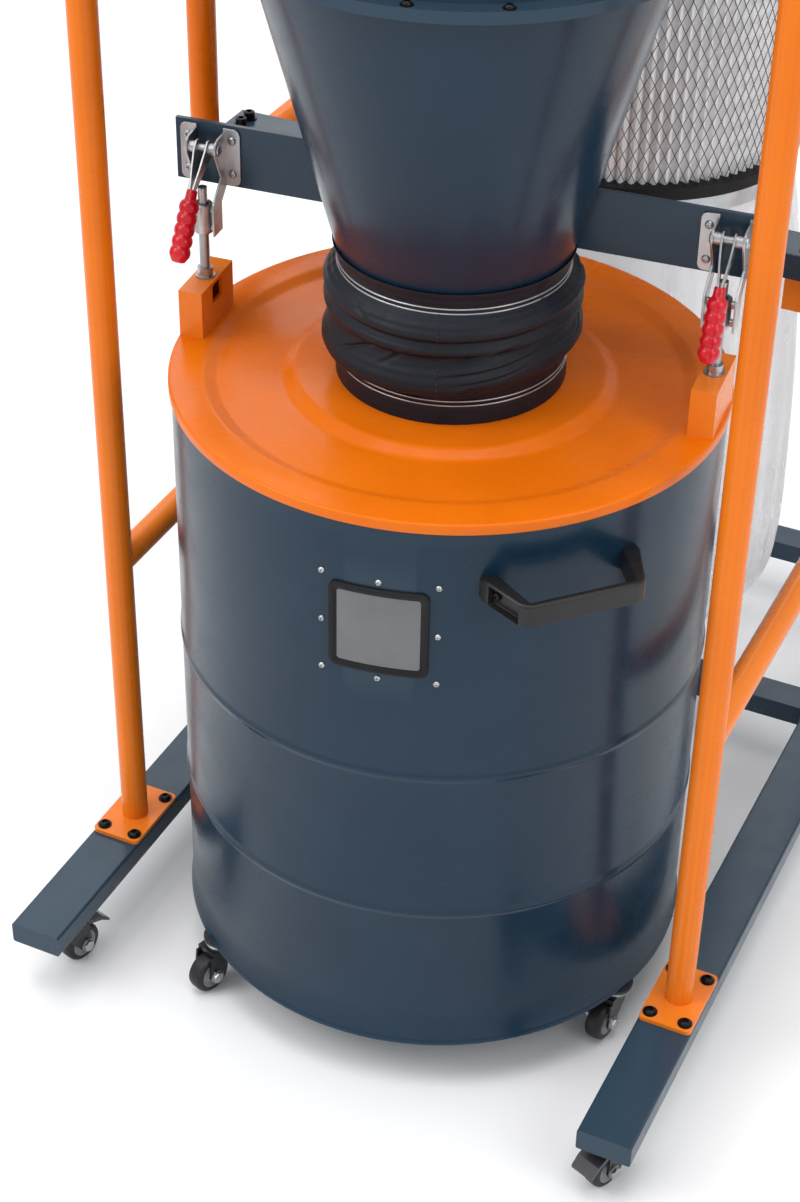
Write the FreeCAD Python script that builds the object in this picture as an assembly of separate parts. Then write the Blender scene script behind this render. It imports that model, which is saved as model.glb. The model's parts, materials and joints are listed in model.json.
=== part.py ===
"""Two-stage dust separator on a wheeled frame.

A round bin rolls under a cyclone cone. Its lid hangs from two toggle clamps, and a cloth
bellows joins lid and cone. Behind the cyclone a pleated filter stands over a dust bag.
Units are millimetres, +Z is up, and the origin is the middle of the base on the floor.
The bin rolls out towards -Y.
"""
import FreeCAD, Part
import math
import os

V = FreeCAD.Vector

# ---- driving sizes: casters ------------------------------------------------------------------
WHEEL_RADIUS = 25.0
BASE_CASTER_HEIGHT = 2 * WHEEL_RADIUS + 25.8   # floor to the rails' underside
BIN_BOTTOM = 2 * WHEEL_RADIUS + 18.0           # floor to the bin's underside
WHEEL_WIDTH = 20.0
CASTER_TRAIL = 24.0
AXLE_RADIUS = 4.0
KINGPIN_RADIUS = 5.0
BASE_CASTER_INSET = 56.5      # rail end to the swivel's axis

# ---- driving sizes: base frame ---------------------------------------------------------
BASE_LENGTH = 1230.0          # rails, front end to rear end
TRACK = 719.0                 # between the rails' centre lines
RAIL_WIDTH = 63.5
RAIL_HEIGHT = 28.4
TUBE_RADIUS = 16.0            # orange round tube
FOOT_PLATE = (RAIL_WIDTH - 1.0, 100.0, 5.0)   # across, along, thick
BIN_SETBACK = 346.5           # rail ends to the bin's axis
FRONT_POST_Y = -114.0         # all four measured from the bin's axis
SHORT_LEG_Y = 119.6
REAR_POST_Y = 484.0
REAR_BAR_Y = 844.0
HOOP_TOP = 1560.0
HOOP_BEND = 80.0
SIDE_TUBE_Z = 490.0
ARM_TUBE_Z = 867.0            # short leg's run back to the rear post
ARM_BEND = 60.0
CROSS_TUBE_TOP = 932.0        # flat tube between the hoops' short legs
CROSS_TUBE_Y = 160.0
CROSS_TUBE_DEPTH = 55.0
CROSS_TUBE_END = 348.0        # half its length

# ---- driving sizes: bin ------------------------------------------------------------------
BIN_RADIUS = 297.0
BIN_WALL = 2.0
BEAD_HEIGHTS = (270.0, 463.0)
BEAD_HALF = 6.0
BEAD_DEPTH = 2.5
CHIME = 3.0
WINDOW_SIZE = 104.0
WINDOW_Z = 648.5
WINDOW_TURN = 11.0            # degrees round the wall from the front towards +X
HANDLE_TURN = 46.9
HANDLE_LENGTH = 170.0
HANDLE_REACH = 59.5
HANDLE_Z = 709.5
BIN_CASTER_RING = BIN_RADIUS - 13.0
BIN_CASTER_DISC = 22.0
RIM_WIDTH = 11.0

# ---- driving sizes: lid, bellows, cyclone --------------------------------------------------
LID_RADIUS = BIN_RADIUS + 3.0
LID_TOP = 785.0
LID_BAND = 12.0
LID_SHEET = 2.5
NECK_RADIUS = 118.0
NECK_HEIGHT = 30.0
CYCLONE_TURN = 5.5            # lid, clamps and clamp plates sit turned on the frame
BRACKET = (27.0, 84.0, 54.0)  # across, along the rim, high
CLAMP_OFFSET = LID_RADIUS - 18.0   # lid's centre to a bracket's centre and its spindle
BRACKET_SHEET = 4.0
CONE_BOTTOM = 918.5
CONE_TOP = 1264.0
CONE_TOP_RADIUS = 212.0
CONE_WALL = 2.0
STUB_LENGTH = 32.0            # straight end of the cone inside the bellows
BARREL_TOP = 1620.0
BARREL_RADIUS = 217.0
FLANGE_RADIUS = 236.0
FLANGE_THICK = 6.0
INLET_RADIUS = 75.0           # outside of the hose's spigot
INLET_LENGTH = 85.0
INLET_SEAM = 1440.0           # plain barrel below, inlet section above
THROAT_RADIUS = 74.0
THROAT_WALL = 3.0
INLET_Z = 1528.0
BELLOWS_RADIUS = 136.0
BELLOWS_CLOTH = 3.0
FAN_RADIUS = 238.0
FAN_HEIGHT = 118.0
MOTOR_RADIUS = 105.0
MOTOR_HEIGHT = 255.0
COWL_HEIGHT = 48.0

# ---- driving sizes: clamps ---------------------------------------------------------------
PLATE_FRONT = 26.0            # clamp plates' front face ahead of the cyclone's diameter, as +Y
PLATE_THICK = 5.0
PLATE_BOTTOM = 937.0
PLATE_TOP = 1006.0
PLATE_END = CLAMP_OFFSET + 40.0
EAR_GAP = 30.0
EAR_SHEET = 2.5
FLANGE_TAB = 19.0
PIN_REACH = 20.0              # plate to the lever's pin
PIN_Z = 986.0
PIN_RADIUS = 4.0
SPINDLE_RADIUS = 5.0
NUT_RADIUS = 8.5
WASHER_RADIUS = 11.0
GUIDE_RADIUS = 11.0
GUIDE_SPAN = (893.0, 925.0)
LEVER_ANGLE = {"left": 42.0, "right": 29.0}   # from straight down, closed
LEVER_CRANK = 8.0             # the grip hangs this much steeper than its lever
LEVER_LENGTH = 46.0
GRIP_LENGTH = 78.0
GRIP_RADIUS = 11.0

# ---- driving sizes: filter and bag ---------------------------------------------------------
FILTER_Y = 545.0              # from the bin's axis
FILTER_RADIUS = 188.0
FILTER_CORE = 150.0
FILTER_BOTTOM = 850.0
FILTER_TOP = 1590.0
RING_RADIUS = 198.0
RING_HEIGHT = 14.0
CAP_RADIUS = 206.0
CAP_HEIGHT = 96.0
BAG_RADIUS = 236.0
BAG_NECK = 194.0
BAG_BOTTOM = 172.0
BAND_HEIGHT = 20.0

# ---- clearances ------------------------------------------------------------------------------
RUN_FIT = 0.05                # pin in a bore, on radius
SLIDE_FIT = 0.10
SEAT_GAP = 0.3
WHEEL_GAP = 1.5
SWIVEL_GAP = 0.4
HUG = 0.1                     # bands and arms round a curved wall

# ---- places worked out from them -----------------------------------------------------------------
BIN_Y = -BASE_LENGTH / 2 + BIN_SETBACK
POST_X = TRACK / 2
RAIL_TOP = BASE_CASTER_HEIGHT + RAIL_HEIGHT
LID_UNDER = LID_TOP - LID_BAND
BIN_TOP = LID_UNDER - SEAT_GAP

os.makedirs("parts", exist_ok=True)


# ---- helpers -------------------------------------------------------------------------------------
def box(x0, x1, y0, y1, z0, z1):
    return Part.makeBox(x1 - x0, y1 - y0, z1 - z0, V(x0, y0, z0))


def cyl(radius, z0, z1, x=0.0, y=0.0):
    return Part.makeCylinder(radius, z1 - z0, V(x, y, z0))


def rod(radius, start, end):
    """A round bar from one point to another."""
    run = end - start
    return Part.makeCylinder(radius, run.Length, start, run)


def ring(outer, inner, z0, z1, x=0.0, y=0.0):
    return cyl(outer, z0, z1, x, y).cut(cyl(inner, z0 - 1, z1 + 1, x, y))


def turned(profile):
    """Revolve a closed outline of (radius, z) points about Z."""
    points = [V(r, 0, z) for r, z in profile]
    face = Part.Face(Part.makePolygon(points + points[:1]))
    return face.revolve(V(0, 0, 0), V(0, 0, 1), 360)


def prism(outline, plane_x, thickness):
    """Extrude a closed (y, z) outline along +X."""
    points = [V(plane_x, y, z) for y, z in outline]
    return Part.Face(Part.makePolygon(points + points[:1])).extrude(V(thickness, 0, 0))


def fuse(shapes):
    return shapes[0].multiFuse(shapes[1:]).removeSplitter() if len(shapes) > 1 else shapes[0]


def spun(shape, degrees):
    return shape.rotated(V(0, 0, 0), V(0, 0, 1), degrees)


def at_bin(shape):
    """From the bin's axis to the frame's origin."""
    return shape.translated(V(0, BIN_Y, 0))


def on_cyclone(shape):
    """As at_bin, turned with the cyclone's clamp plates."""
    return at_bin(spun(shape, CYCLONE_TURN))


def save(name, *shapes):
    solids = [s for shape in shapes for s in shape.Solids]
    whole = solids[0] if len(solids) == 1 else Part.Compound(solids)
    whole.exportStep("parts/" + name + ".step")


def bent_tube(points, bend, radius):
    """A solid round tube along straight runs joined by tangent arcs, one bend radius each."""
    edges = []
    start = points[0]
    for i in range(1, len(points) - 1):
        here = points[i]
        back = (points[i - 1] - here).normalize()
        ahead = (points[i + 1] - here).normalize()
        turn = math.pi - back.getAngle(ahead)
        reach = bend[i - 1] * math.tan(turn / 2)
        a = here + back * reach
        b = here + ahead * reach
        centre = here + (back + ahead).normalize() * (bend[i - 1] / math.cos(turn / 2))
        middle = centre + (here - centre).normalize() * bend[i - 1]
        edges.append(Part.makeLine(start, a))
        edges.append(Part.Arc(a, middle, b).toShape())
        start = b
    edges.append(Part.makeLine(start, points[-1]))
    path = Part.Wire(edges)
    first = (points[1] - points[0]).normalize()
    section = Part.Wire(Part.makeCircle(radius, points[0], first))
    return path.makePipeShell([section], True, False)


# ---- base: two rails and two crossbars -----------------------------------------------------------
def rails():
    half = BASE_LENGTH / 2
    for side in (-1, 1):
        x = side * POST_X
        bar = box(x - RAIL_WIDTH / 2, x + RAIL_WIDTH / 2, -half, half, BASE_CASTER_HEIGHT, RAIL_TOP)
        yield bar.makeFillet(3.0, [e for e in bar.Edges if abs(e.Length - BASE_LENGTH) < 1e-6])


def crossbars():
    inner = POST_X - RAIL_WIDTH / 2
    for y in (REAR_POST_Y, REAR_BAR_Y):
        yield at_bin(box(-inner, inner, y - 22, y + 22, BASE_CASTER_HEIGHT, RAIL_TOP))


save("base_rails", *rails())
save("base_crossbars", *crossbars())

# foot plates under the four long posts
post_places = [(side * POST_X, y) for side in (-1, 1) for y in (FRONT_POST_Y, REAR_POST_Y)]
foot_top = RAIL_TOP + FOOT_PLATE[2]
feet = []
for x, y in post_places:
    plate = box(x - FOOT_PLATE[0] / 2, x + FOOT_PLATE[0] / 2,
                y - FOOT_PLATE[1] / 2, y + FOOT_PLATE[1] / 2, RAIL_TOP, foot_top)
    uprights = [e for e in plate.Edges if abs(e.Length - FOOT_PLATE[2]) < 1e-6]
    feet.append(at_bin(plate.makeFillet(6.0, uprights)))
save("foot_plates", *feet)


# ---- hoops: front post, over the top, down to the short leg and back to the rear post ------------
def hoop_tube(side, radius):
    x = side * POST_X
    points = [V(x, FRONT_POST_Y, foot_top), V(x, FRONT_POST_Y, HOOP_TOP), V(x, SHORT_LEG_Y, HOOP_TOP),
              V(x, SHORT_LEG_Y, ARM_TUBE_Z), V(x, REAR_POST_Y, ARM_TUBE_Z)]
    return bent_tube(points, [HOOP_BEND, HOOP_BEND, ARM_BEND], radius)


def hoop(side):
    return at_bin(hoop_tube(side, TUBE_RADIUS).cut(cyl(TUBE_RADIUS, 0, 3000, side * POST_X, REAR_POST_Y)))


def rear_post(side):
    return at_bin(cyl(TUBE_RADIUS, foot_top, FILTER_TOP + CAP_HEIGHT / 2 + 22, side * POST_X, REAR_POST_Y))


def side_tube(side):
    x = side * POST_X
    tube = rod(TUBE_RADIUS, V(x, FRONT_POST_Y, SIDE_TUBE_Z), V(x, REAR_POST_Y, SIDE_TUBE_Z))
    for y in (FRONT_POST_Y, REAR_POST_Y):
        tube = tube.cut(cyl(TUBE_RADIUS, 0, 3000, x, y))
    return at_bin(tube)


save("side_hoops", hoop(-1), hoop(1))
save("rear_posts", rear_post(-1), rear_post(1))
save("side_tubes", side_tube(-1), side_tube(1))

# flat tube across the hoops' lower runs, on a block at each end that its two bolts pass through
cross_bottom = CROSS_TUBE_TOP - RAIL_HEIGHT
block_depth = CROSS_TUBE_DEPTH - 15
cross_tube = box(-CROSS_TUBE_END, CROSS_TUBE_END, CROSS_TUBE_Y - CROSS_TUBE_DEPTH / 2,
                 CROSS_TUBE_Y + CROSS_TUBE_DEPTH / 2, cross_bottom, CROSS_TUBE_TOP)
long_edges = [e for e in cross_tube.Edges if abs(e.Length - 2 * CROSS_TUBE_END) < 1e-6]
cross_tube = cross_tube.makeFillet(2.5, long_edges)
for side in (-1, 1):
    cross_tube = cross_tube.cut(hoop_tube(side, TUBE_RADIUS + HUG))
save("cross_tube", at_bin(cross_tube))


def cross_block(side):
    inner, outer = sorted((side * (CROSS_TUBE_END - 36), side * POST_X))
    block = box(inner, outer, CROSS_TUBE_Y - block_depth / 2, CROSS_TUBE_Y + block_depth / 2,
                ARM_TUBE_Z - 2, cross_bottom)
    trimmed = block.cut(hoop_tube(side, TUBE_RADIUS + HUG))
    return at_bin(max(trimmed.Solids, key=lambda solid: solid.Volume))


save("cross_tube_blocks", cross_block(-1), cross_block(1))

# ---- cyclone: cone, barrel with its tangent inlet, joint flange and carrying collar --------------
cone_outside = [(NECK_RADIUS - 1, CONE_BOTTOM - STUB_LENGTH), (NECK_RADIUS - 1, CONE_BOTTOM - 1),
                (NECK_RADIUS, CONE_BOTTOM), (CONE_TOP_RADIUS, CONE_TOP)]
cone_inside = [(r - CONE_WALL, z) for r, z in reversed(cone_outside)]
cone = turned(cone_outside + cone_inside)
save("cyclone_cone", at_bin(cone))

barrel_bottom = CONE_TOP + 2 * FLANGE_THICK
flange_profile = [(CONE_TOP_RADIUS - CONE_WALL, CONE_TOP), (FLANGE_RADIUS, CONE_TOP),
                  (FLANGE_RADIUS, barrel_bottom), (CONE_TOP_RADIUS - CONE_WALL, barrel_bottom)]
save("joint_flange", at_bin(turned(flange_profile)))

save("cyclone_barrel", at_bin(ring(BARREL_RADIUS, BARREL_RADIUS - CONE_WALL, barrel_bottom, INLET_SEAM)))

# the inlet section above it: a throat leads in along the wall, and the hose's spigot is welded on its end
inlet_x = -(BARREL_RADIUS - CONE_WALL - INLET_RADIUS)
spigot_root = -BARREL_RADIUS - 5
inlet_end = spigot_root - INLET_LENGTH


def inlet_rod(radius, front, back):
    return rod(radius, V(inlet_x, front, INLET_Z), V(inlet_x, back, INLET_Z))


throat = inlet_rod(THROAT_RADIUS, spigot_root, -20).cut(cyl(BARREL_RADIUS - CONE_WALL / 2, 0, 3000))
throat = max(throat.Solids, key=lambda solid: solid.Volume)
inlet_section = fuse([ring(BARREL_RADIUS, BARREL_RADIUS - CONE_WALL, INLET_SEAM, BARREL_TOP), throat])
inlet_section = inlet_section.cut(inlet_rod(THROAT_RADIUS - THROAT_WALL, spigot_root - 1, -19))
save("inlet_section", at_bin(inlet_section))
spigot = inlet_rod(INLET_RADIUS, inlet_end, spigot_root)
spigot = spigot.cut(inlet_rod(INLET_RADIUS - CONE_WALL, inlet_end - 1, spigot_root + 1))
save("inlet_spigot", at_bin(spigot))

collar_z = 1404.0
collar_height = 30.0
collar = ring(BARREL_RADIUS + 4, BARREL_RADIUS + HUG, collar_z, collar_z + collar_height)
arms = [collar]
for side in (-1, 1):
    for y in (FRONT_POST_Y, SHORT_LEG_Y):
        inner, outer = sorted((side * 150.0, side * POST_X))
        arm = box(inner, outer, y - 13, y + 13, collar_z, collar_z + collar_height)
        arm = arm.cut(cyl(BARREL_RADIUS + HUG, 0, 3000)).cut(cyl(TUBE_RADIUS + HUG, 0, 3000, side * POST_X, y))
        arms.append(arm)
save("barrel_collar", at_bin(fuse(arms)))

# fan housing, motor and the duct back to the filter
fan_top = BARREL_TOP + FAN_HEIGHT
save("fan_housing", at_bin(cyl(FAN_RADIUS, BARREL_TOP, fan_top)))
motor = fuse([cyl(MOTOR_RADIUS + 22, fan_top, fan_top + 12),
              cyl(MOTOR_RADIUS, fan_top, fan_top + MOTOR_HEIGHT)])
save("fan_motor", at_bin(motor))
cowl_bottom = fan_top + MOTOR_HEIGHT
cowl = cyl(MOTOR_RADIUS + 4, cowl_bottom, cowl_bottom + COWL_HEIGHT)
cowl = cowl.makeFillet(14.0, [cowl.Edges[0]])
save("motor_cowl", at_bin(cowl))

cap_bottom = FILTER_TOP
cap_top = FILTER_TOP + CAP_HEIGHT
duct_bottom = BARREL_TOP + 8
duct_top = cap_top - 6
duct = box(-80, 80, 0, FILTER_Y, duct_bottom, duct_top)
duct = duct.cut(cyl(FAN_RADIUS + HUG, 0, 3000)).cut(cyl(CAP_RADIUS + HUG, 0, 3000, 0, FILTER_Y))
save("outlet_duct", at_bin(duct))

# ---- filter, its ring, the band and the bag ------------------------------------------------------
save("filter_cap", at_bin(cyl(CAP_RADIUS, cap_bottom, cap_top, 0, FILTER_Y)))
save("filter_cartridge", at_bin(ring(FILTER_RADIUS, FILTER_CORE, FILTER_BOTTOM, FILTER_TOP, 0, FILTER_Y)))
ring_bottom = FILTER_BOTTOM - RING_HEIGHT
save("filter_ring", at_bin(ring(RING_RADIUS, FILTER_CORE, ring_bottom, FILTER_BOTTOM, 0, FILTER_Y)))
band = ring(BAG_NECK + 3, BAG_NECK, ring_bottom - BAND_HEIGHT, ring_bottom, 0, FILTER_Y)
save("bag_band", at_bin(band))
bag_outline = [(0, BAG_BOTTOM), (BAG_RADIUS - 70, BAG_BOTTOM), (BAG_RADIUS - 12, BAG_BOTTOM + 46),
               (BAG_RADIUS, BAG_BOTTOM + 160), (BAG_RADIUS - 8, 560), (BAG_NECK + 14, ring_bottom - BAND_HEIGHT - 60),
               (BAG_NECK - SEAT_GAP, ring_bottom - BAND_HEIGHT - 6), (BAG_NECK - SEAT_GAP, ring_bottom - SEAT_GAP),
               (0, ring_bottom - SEAT_GAP)]
save("dust_bag", at_bin(turned(bag_outline).translated(V(0, FILTER_Y, 0))))

filter_arms = []
for side in (-1, 1):
    inner, outer = sorted((side * 150.0, side * POST_X))
    arm = box(inner, outer, REAR_POST_Y - 13, REAR_POST_Y + 13, cap_bottom + CAP_HEIGHT / 2 - 15,
              cap_bottom + CAP_HEIGHT / 2 + 15)
    arm = arm.cut(cyl(CAP_RADIUS + HUG, 0, 3000, 0, FILTER_Y))
    arm = arm.cut(cyl(TUBE_RADIUS + HUG, 0, 3000, side * POST_X, REAR_POST_Y))
    filter_arms.append(at_bin(arm))
save("filter_arms", *filter_arms)


# ---- clamp plates, welded to the cone ------------------------------------------------------------
def clamp_plate(side):
    inner, outer = sorted((side * 60.0, side * PLATE_END))
    plate = box(inner, outer, PLATE_FRONT, PLATE_FRONT + PLATE_THICK, PLATE_BOTTOM, PLATE_TOP)
    keep_out = turned([(0, CONE_BOTTOM), (NECK_RADIUS, CONE_BOTTOM), (CONE_TOP_RADIUS, CONE_TOP), (0, CONE_TOP)])
    return on_cyclone(plate.cut(keep_out))


save("clamp_plates", clamp_plate(-1), clamp_plate(1))


# ---- toggle clamps: a sheet base with two ears, a guide for the spindle and a pin for the lever --
def clamp_base(side):
    x = side * CLAMP_OFFSET
    face = PLATE_FRONT
    pin_y = face - PIN_REACH
    tab_bottom, tab_top = PLATE_BOTTOM + 2, PLATE_TOP - 3
    pieces = []
    for s in (-1, 1):
        ear_in = EAR_GAP / 2
        lo, hi = sorted((x + s * ear_in, x + s * (ear_in + FLANGE_TAB)))
        pieces.append(box(lo, hi, face - EAR_SHEET, face, tab_bottom, tab_top))
        outline = [(face, tab_top - 4), (pin_y - 8, PIN_Z + 10), (pin_y - 8, PIN_Z - 8), (face - 14, PIN_Z - 34),
                   (-GUIDE_RADIUS, GUIDE_SPAN[1] + 4), (-GUIDE_RADIUS, GUIDE_SPAN[0]), (GUIDE_RADIUS, GUIDE_SPAN[0]),
                   (GUIDE_RADIUS, GUIDE_SPAN[1]), (face, tab_bottom)]
        ear_x = x + s * ear_in if s > 0 else x - ear_in - EAR_SHEET
        pieces.append(prism(outline, ear_x, EAR_SHEET))
    span = EAR_GAP / 2
    block = box(x - span, x + span, -GUIDE_RADIUS, GUIDE_RADIUS, *GUIDE_SPAN)
    pieces.append(block)
    reach = span + EAR_SHEET + 1.5
    pieces.append(rod(PIN_RADIUS, V(x - reach, pin_y, PIN_Z), V(x + reach, pin_y, PIN_Z)))
    whole = fuse(pieces).cut(cyl(SPINDLE_RADIUS + SLIDE_FIT, 800, GUIDE_SPAN[1] + 1, x, 0))
    return on_cyclone(whole)


save("clamp_bases", clamp_base(-1), clamp_base(1))


def lever_parts(name, side):
    """The forked lever hangs from the clamp's pin and leans forward; the grip is on its end."""
    x = side * CLAMP_OFFSET
    pin = V(x, PLATE_FRONT - PIN_REACH, PIN_Z)
    elbow = pin - V(0, 0, LEVER_LENGTH)
    eye = rod(9.0, pin - V(6, 0, 0), pin + V(6, 0, 0))
    arm = box(x - 6, x + 6, pin.y - 4, pin.y + 4, elbow.z, pin.z)
    lever = fuse([eye, arm]).cut(rod(PIN_RADIUS + RUN_FIT, pin - V(9, 0, 0), pin + V(9, 0, 0)))
    grip = cyl(GRIP_RADIUS, elbow.z - GRIP_LENGTH, elbow.z, x, pin.y)
    grip = grip.makeFillet(6.0, [grip.Edges[0], grip.Edges[2]])
    grip = grip.rotated(elbow, V(1, 0, 0), LEVER_CRANK)
    for piece, label in ((lever, "lever_"), (grip.cut(lever), "grip_")):
        leaning = piece.rotated(pin, V(1, 0, 0), -LEVER_ANGLE[name])
        save(label + name, on_cyclone(leaning))


lever_parts("left", -1)
lever_parts("right", 1)

# ---- lid, its brackets, the spindles and the bellows ---------------------------------------------
recess = 6.0
channel = LID_RADIUS - 51.0   # outer edge of the pressed channel's floor
lid_profile = [
    (NECK_RADIUS, LID_TOP + NECK_HEIGHT), (NECK_RADIUS, LID_TOP + 3), (165, LID_TOP + 3), (178, LID_TOP - recess),
    (channel, LID_TOP - recess), (channel + 13, LID_TOP), (LID_RADIUS, LID_TOP), (LID_RADIUS, LID_UNDER),
    (LID_RADIUS - LID_SHEET, LID_UNDER), (LID_RADIUS - LID_SHEET, LID_TOP - LID_SHEET),
    (channel + 14, LID_TOP - LID_SHEET), (channel + 1, LID_TOP - recess - LID_SHEET),
    (177, LID_TOP - recess - LID_SHEET), (164, LID_TOP + 3 - LID_SHEET),
    (NECK_RADIUS - LID_SHEET, LID_TOP + 3 - LID_SHEET), (NECK_RADIUS - LID_SHEET, LID_TOP + NECK_HEIGHT)]
save("lid", at_bin(turned(lid_profile)))
seal_top = LID_TOP - LID_SHEET
seal_outer_radius = LID_RADIUS - LID_SHEET
save("lid_seal", at_bin(ring(seal_outer_radius, seal_outer_radius - RIM_WIDTH - 2, LID_UNDER, seal_top)))


def lid_bracket(side):
    """An inverted channel on the rim with its inner side cut away round the spindle's lower nut."""
    across, along, high = BRACKET
    x = side * CLAMP_OFFSET
    t = BRACKET_SHEET
    outer = box(x - across / 2, x + across / 2, -along / 2, along / 2, LID_TOP, LID_TOP + high)
    inside = box(x - across / 2 + t, x + across / 2 - t, -along / 2 + t, along / 2 - t,
                 LID_TOP - 1, LID_TOP + high - t)
    shell = outer.cut(inside)
    notch_side = -side
    lo, hi = sorted((x + notch_side * (across / 2 + 1), x + notch_side * (across / 2 - t - 1)))
    notch = box(lo, hi, -13, 13, LID_TOP + high - 26, LID_TOP + high - t)
    return shell.cut(notch).cut(cyl(SPINDLE_RADIUS, LID_TOP + 20, LID_TOP + high + 5, side * CLAMP_OFFSET, 0))


bracket_top = LID_TOP + BRACKET[2]
save("lid_brackets", on_cyclone(lid_bracket(-1)), on_cyclone(lid_bracket(1)))


def spindle(side):
    x = side * CLAMP_OFFSET
    under = bracket_top - BRACKET_SHEET
    pieces = [cyl(SPINDLE_RADIUS, under - 14, PIN_Z - 42, x, 0),
              cyl(NUT_RADIUS, under - 8, under, x, 0),
              cyl(WASHER_RADIUS, bracket_top, bracket_top + 2, x, 0),
              cyl(NUT_RADIUS, bracket_top + 2, bracket_top + 11, x, 0)]
    return on_cyclone(fuse(pieces))


save("clamp_spindles", spindle(-1), spindle(1))

cloth = BELLOWS_CLOTH
fit = NECK_RADIUS + SEAT_GAP
low, high = LID_TOP + 3 + SEAT_GAP, CONE_BOTTOM - 1
bellows_outside = [(fit + cloth, low), (fit + cloth, low + 28), (BELLOWS_RADIUS - 3, low + 38),
                   (BELLOWS_RADIUS, low + 50), (BELLOWS_RADIUS - 9, low + 62), (BELLOWS_RADIUS, low + 76),
                   (BELLOWS_RADIUS - 2, low + 92), (fit + cloth, low + 106), (fit + cloth, high)]
bellows_inside = [(fit, high), (fit, low + 106), (BELLOWS_RADIUS - 2 - cloth, low + 92 - 2),
                  (BELLOWS_RADIUS - cloth, low + 76), (BELLOWS_RADIUS - 9 - cloth, low + 62),
                  (BELLOWS_RADIUS - cloth, low + 50), (BELLOWS_RADIUS - 3 - cloth, low + 38 + 2), (fit, low + 28)]
save("bellows", at_bin(turned(bellows_outside + bellows_inside + [(fit, low)])))

# ---- bin: wall, bottom, seal, window, handles ----------------------------------------------------
wall = [(BIN_RADIUS - BIN_WALL, BIN_BOTTOM + 8), (BIN_RADIUS - BIN_WALL, BIN_BOTTOM), (BIN_RADIUS + CHIME, BIN_BOTTOM),
        (BIN_RADIUS + CHIME, BIN_BOTTOM + 5), (BIN_RADIUS, BIN_BOTTOM + 9)]
for z in BEAD_HEIGHTS:
    wall += [(BIN_RADIUS, z - BEAD_HALF), (BIN_RADIUS + BEAD_DEPTH, z - 1.5), (BIN_RADIUS + BEAD_DEPTH, z + 1.5),
             (BIN_RADIUS, z + BEAD_HALF)]
wall += [(BIN_RADIUS, BIN_TOP), (BIN_RADIUS - RIM_WIDTH, BIN_TOP), (BIN_RADIUS - RIM_WIDTH, BIN_TOP - BIN_WALL),
         (BIN_RADIUS - BIN_WALL, BIN_TOP - BIN_WALL)]
bin_wall = turned(wall)
save("bin_bottom", at_bin(cyl(BIN_RADIUS - BIN_WALL, BIN_BOTTOM, BIN_BOTTOM + 3)))


def wall_patch(width, height, r_in, r_out, z, turn, corner):
    """A rounded rectangle that follows the bin's round wall."""
    block = box(-width / 2, width / 2, -r_out - 20, -r_in + 60, z - height / 2, z + height / 2)
    block = block.makeFillet(corner, [e for e in block.Edges if abs(e.Length - (r_out + 20 - r_in + 60)) < 1e-6])
    return spun(block.common(ring(r_out, r_in, z - height, z + height)), turn)


seal_outer = wall_patch(WINDOW_SIZE, WINDOW_SIZE, BIN_RADIUS, BIN_RADIUS + 4, WINDOW_Z, WINDOW_TURN, 8.0)
glass = WINDOW_SIZE - 16
seal_hole = wall_patch(glass, glass, BIN_RADIUS - 1, BIN_RADIUS + 6, WINDOW_Z, WINDOW_TURN, 4.0)
save("window_seal", at_bin(seal_outer.cut(seal_hole)))
pane = wall_patch(glass, glass, BIN_RADIUS, BIN_RADIUS + 2, WINDOW_Z, WINDOW_TURN, 4.0)
save("window_pane", at_bin(pane))
hole = WINDOW_SIZE - 26
opening = wall_patch(hole, hole, BIN_RADIUS - 9, BIN_RADIUS + 6, WINDOW_Z, WINDOW_TURN, 3.0)
save("bin_wall", at_bin(bin_wall.cut(opening)))


def bin_handle(turn):
    """A bridge handle: two feet that follow the wall and a bar across them."""
    half = HANDLE_LENGTH / 2
    reach = BIN_RADIUS + HANDLE_REACH
    low, high = HANDLE_Z - 14, HANDLE_Z + 14
    outside = [(half, -BIN_RADIUS + 60), (half, -BIN_RADIUS - 6), (half - 16, -reach + 10), (half - 26, -reach)]
    inside = [(half - 32, -reach + 16), (half - 24, -BIN_RADIUS - 10), (half - 24, -BIN_RADIUS + 60)]
    outline = [(-x, y) for x, y in outside] + outside[::-1] + inside[::-1] + [(-x, y) for x, y in inside]
    points = [V(x, y, low) for x, y in outline]
    body = Part.Face(Part.makePolygon(points + points[:1])).extrude(V(0, 0, high - low))
    body = body.cut(cyl(BIN_RADIUS, 0, 2000))
    return at_bin(spun(body, turn))


save("bin_handles", bin_handle(HANDLE_TURN), bin_handle(HANDLE_TURN + 180))


# ---- casters: a fixed plate with a kingpin, a swivelling fork with its axle, and a wheel ---------
def caster_plate(height, plate):
    return fuse([plate, cyl(KINGPIN_RADIUS, height - 20, height - 3)])


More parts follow.
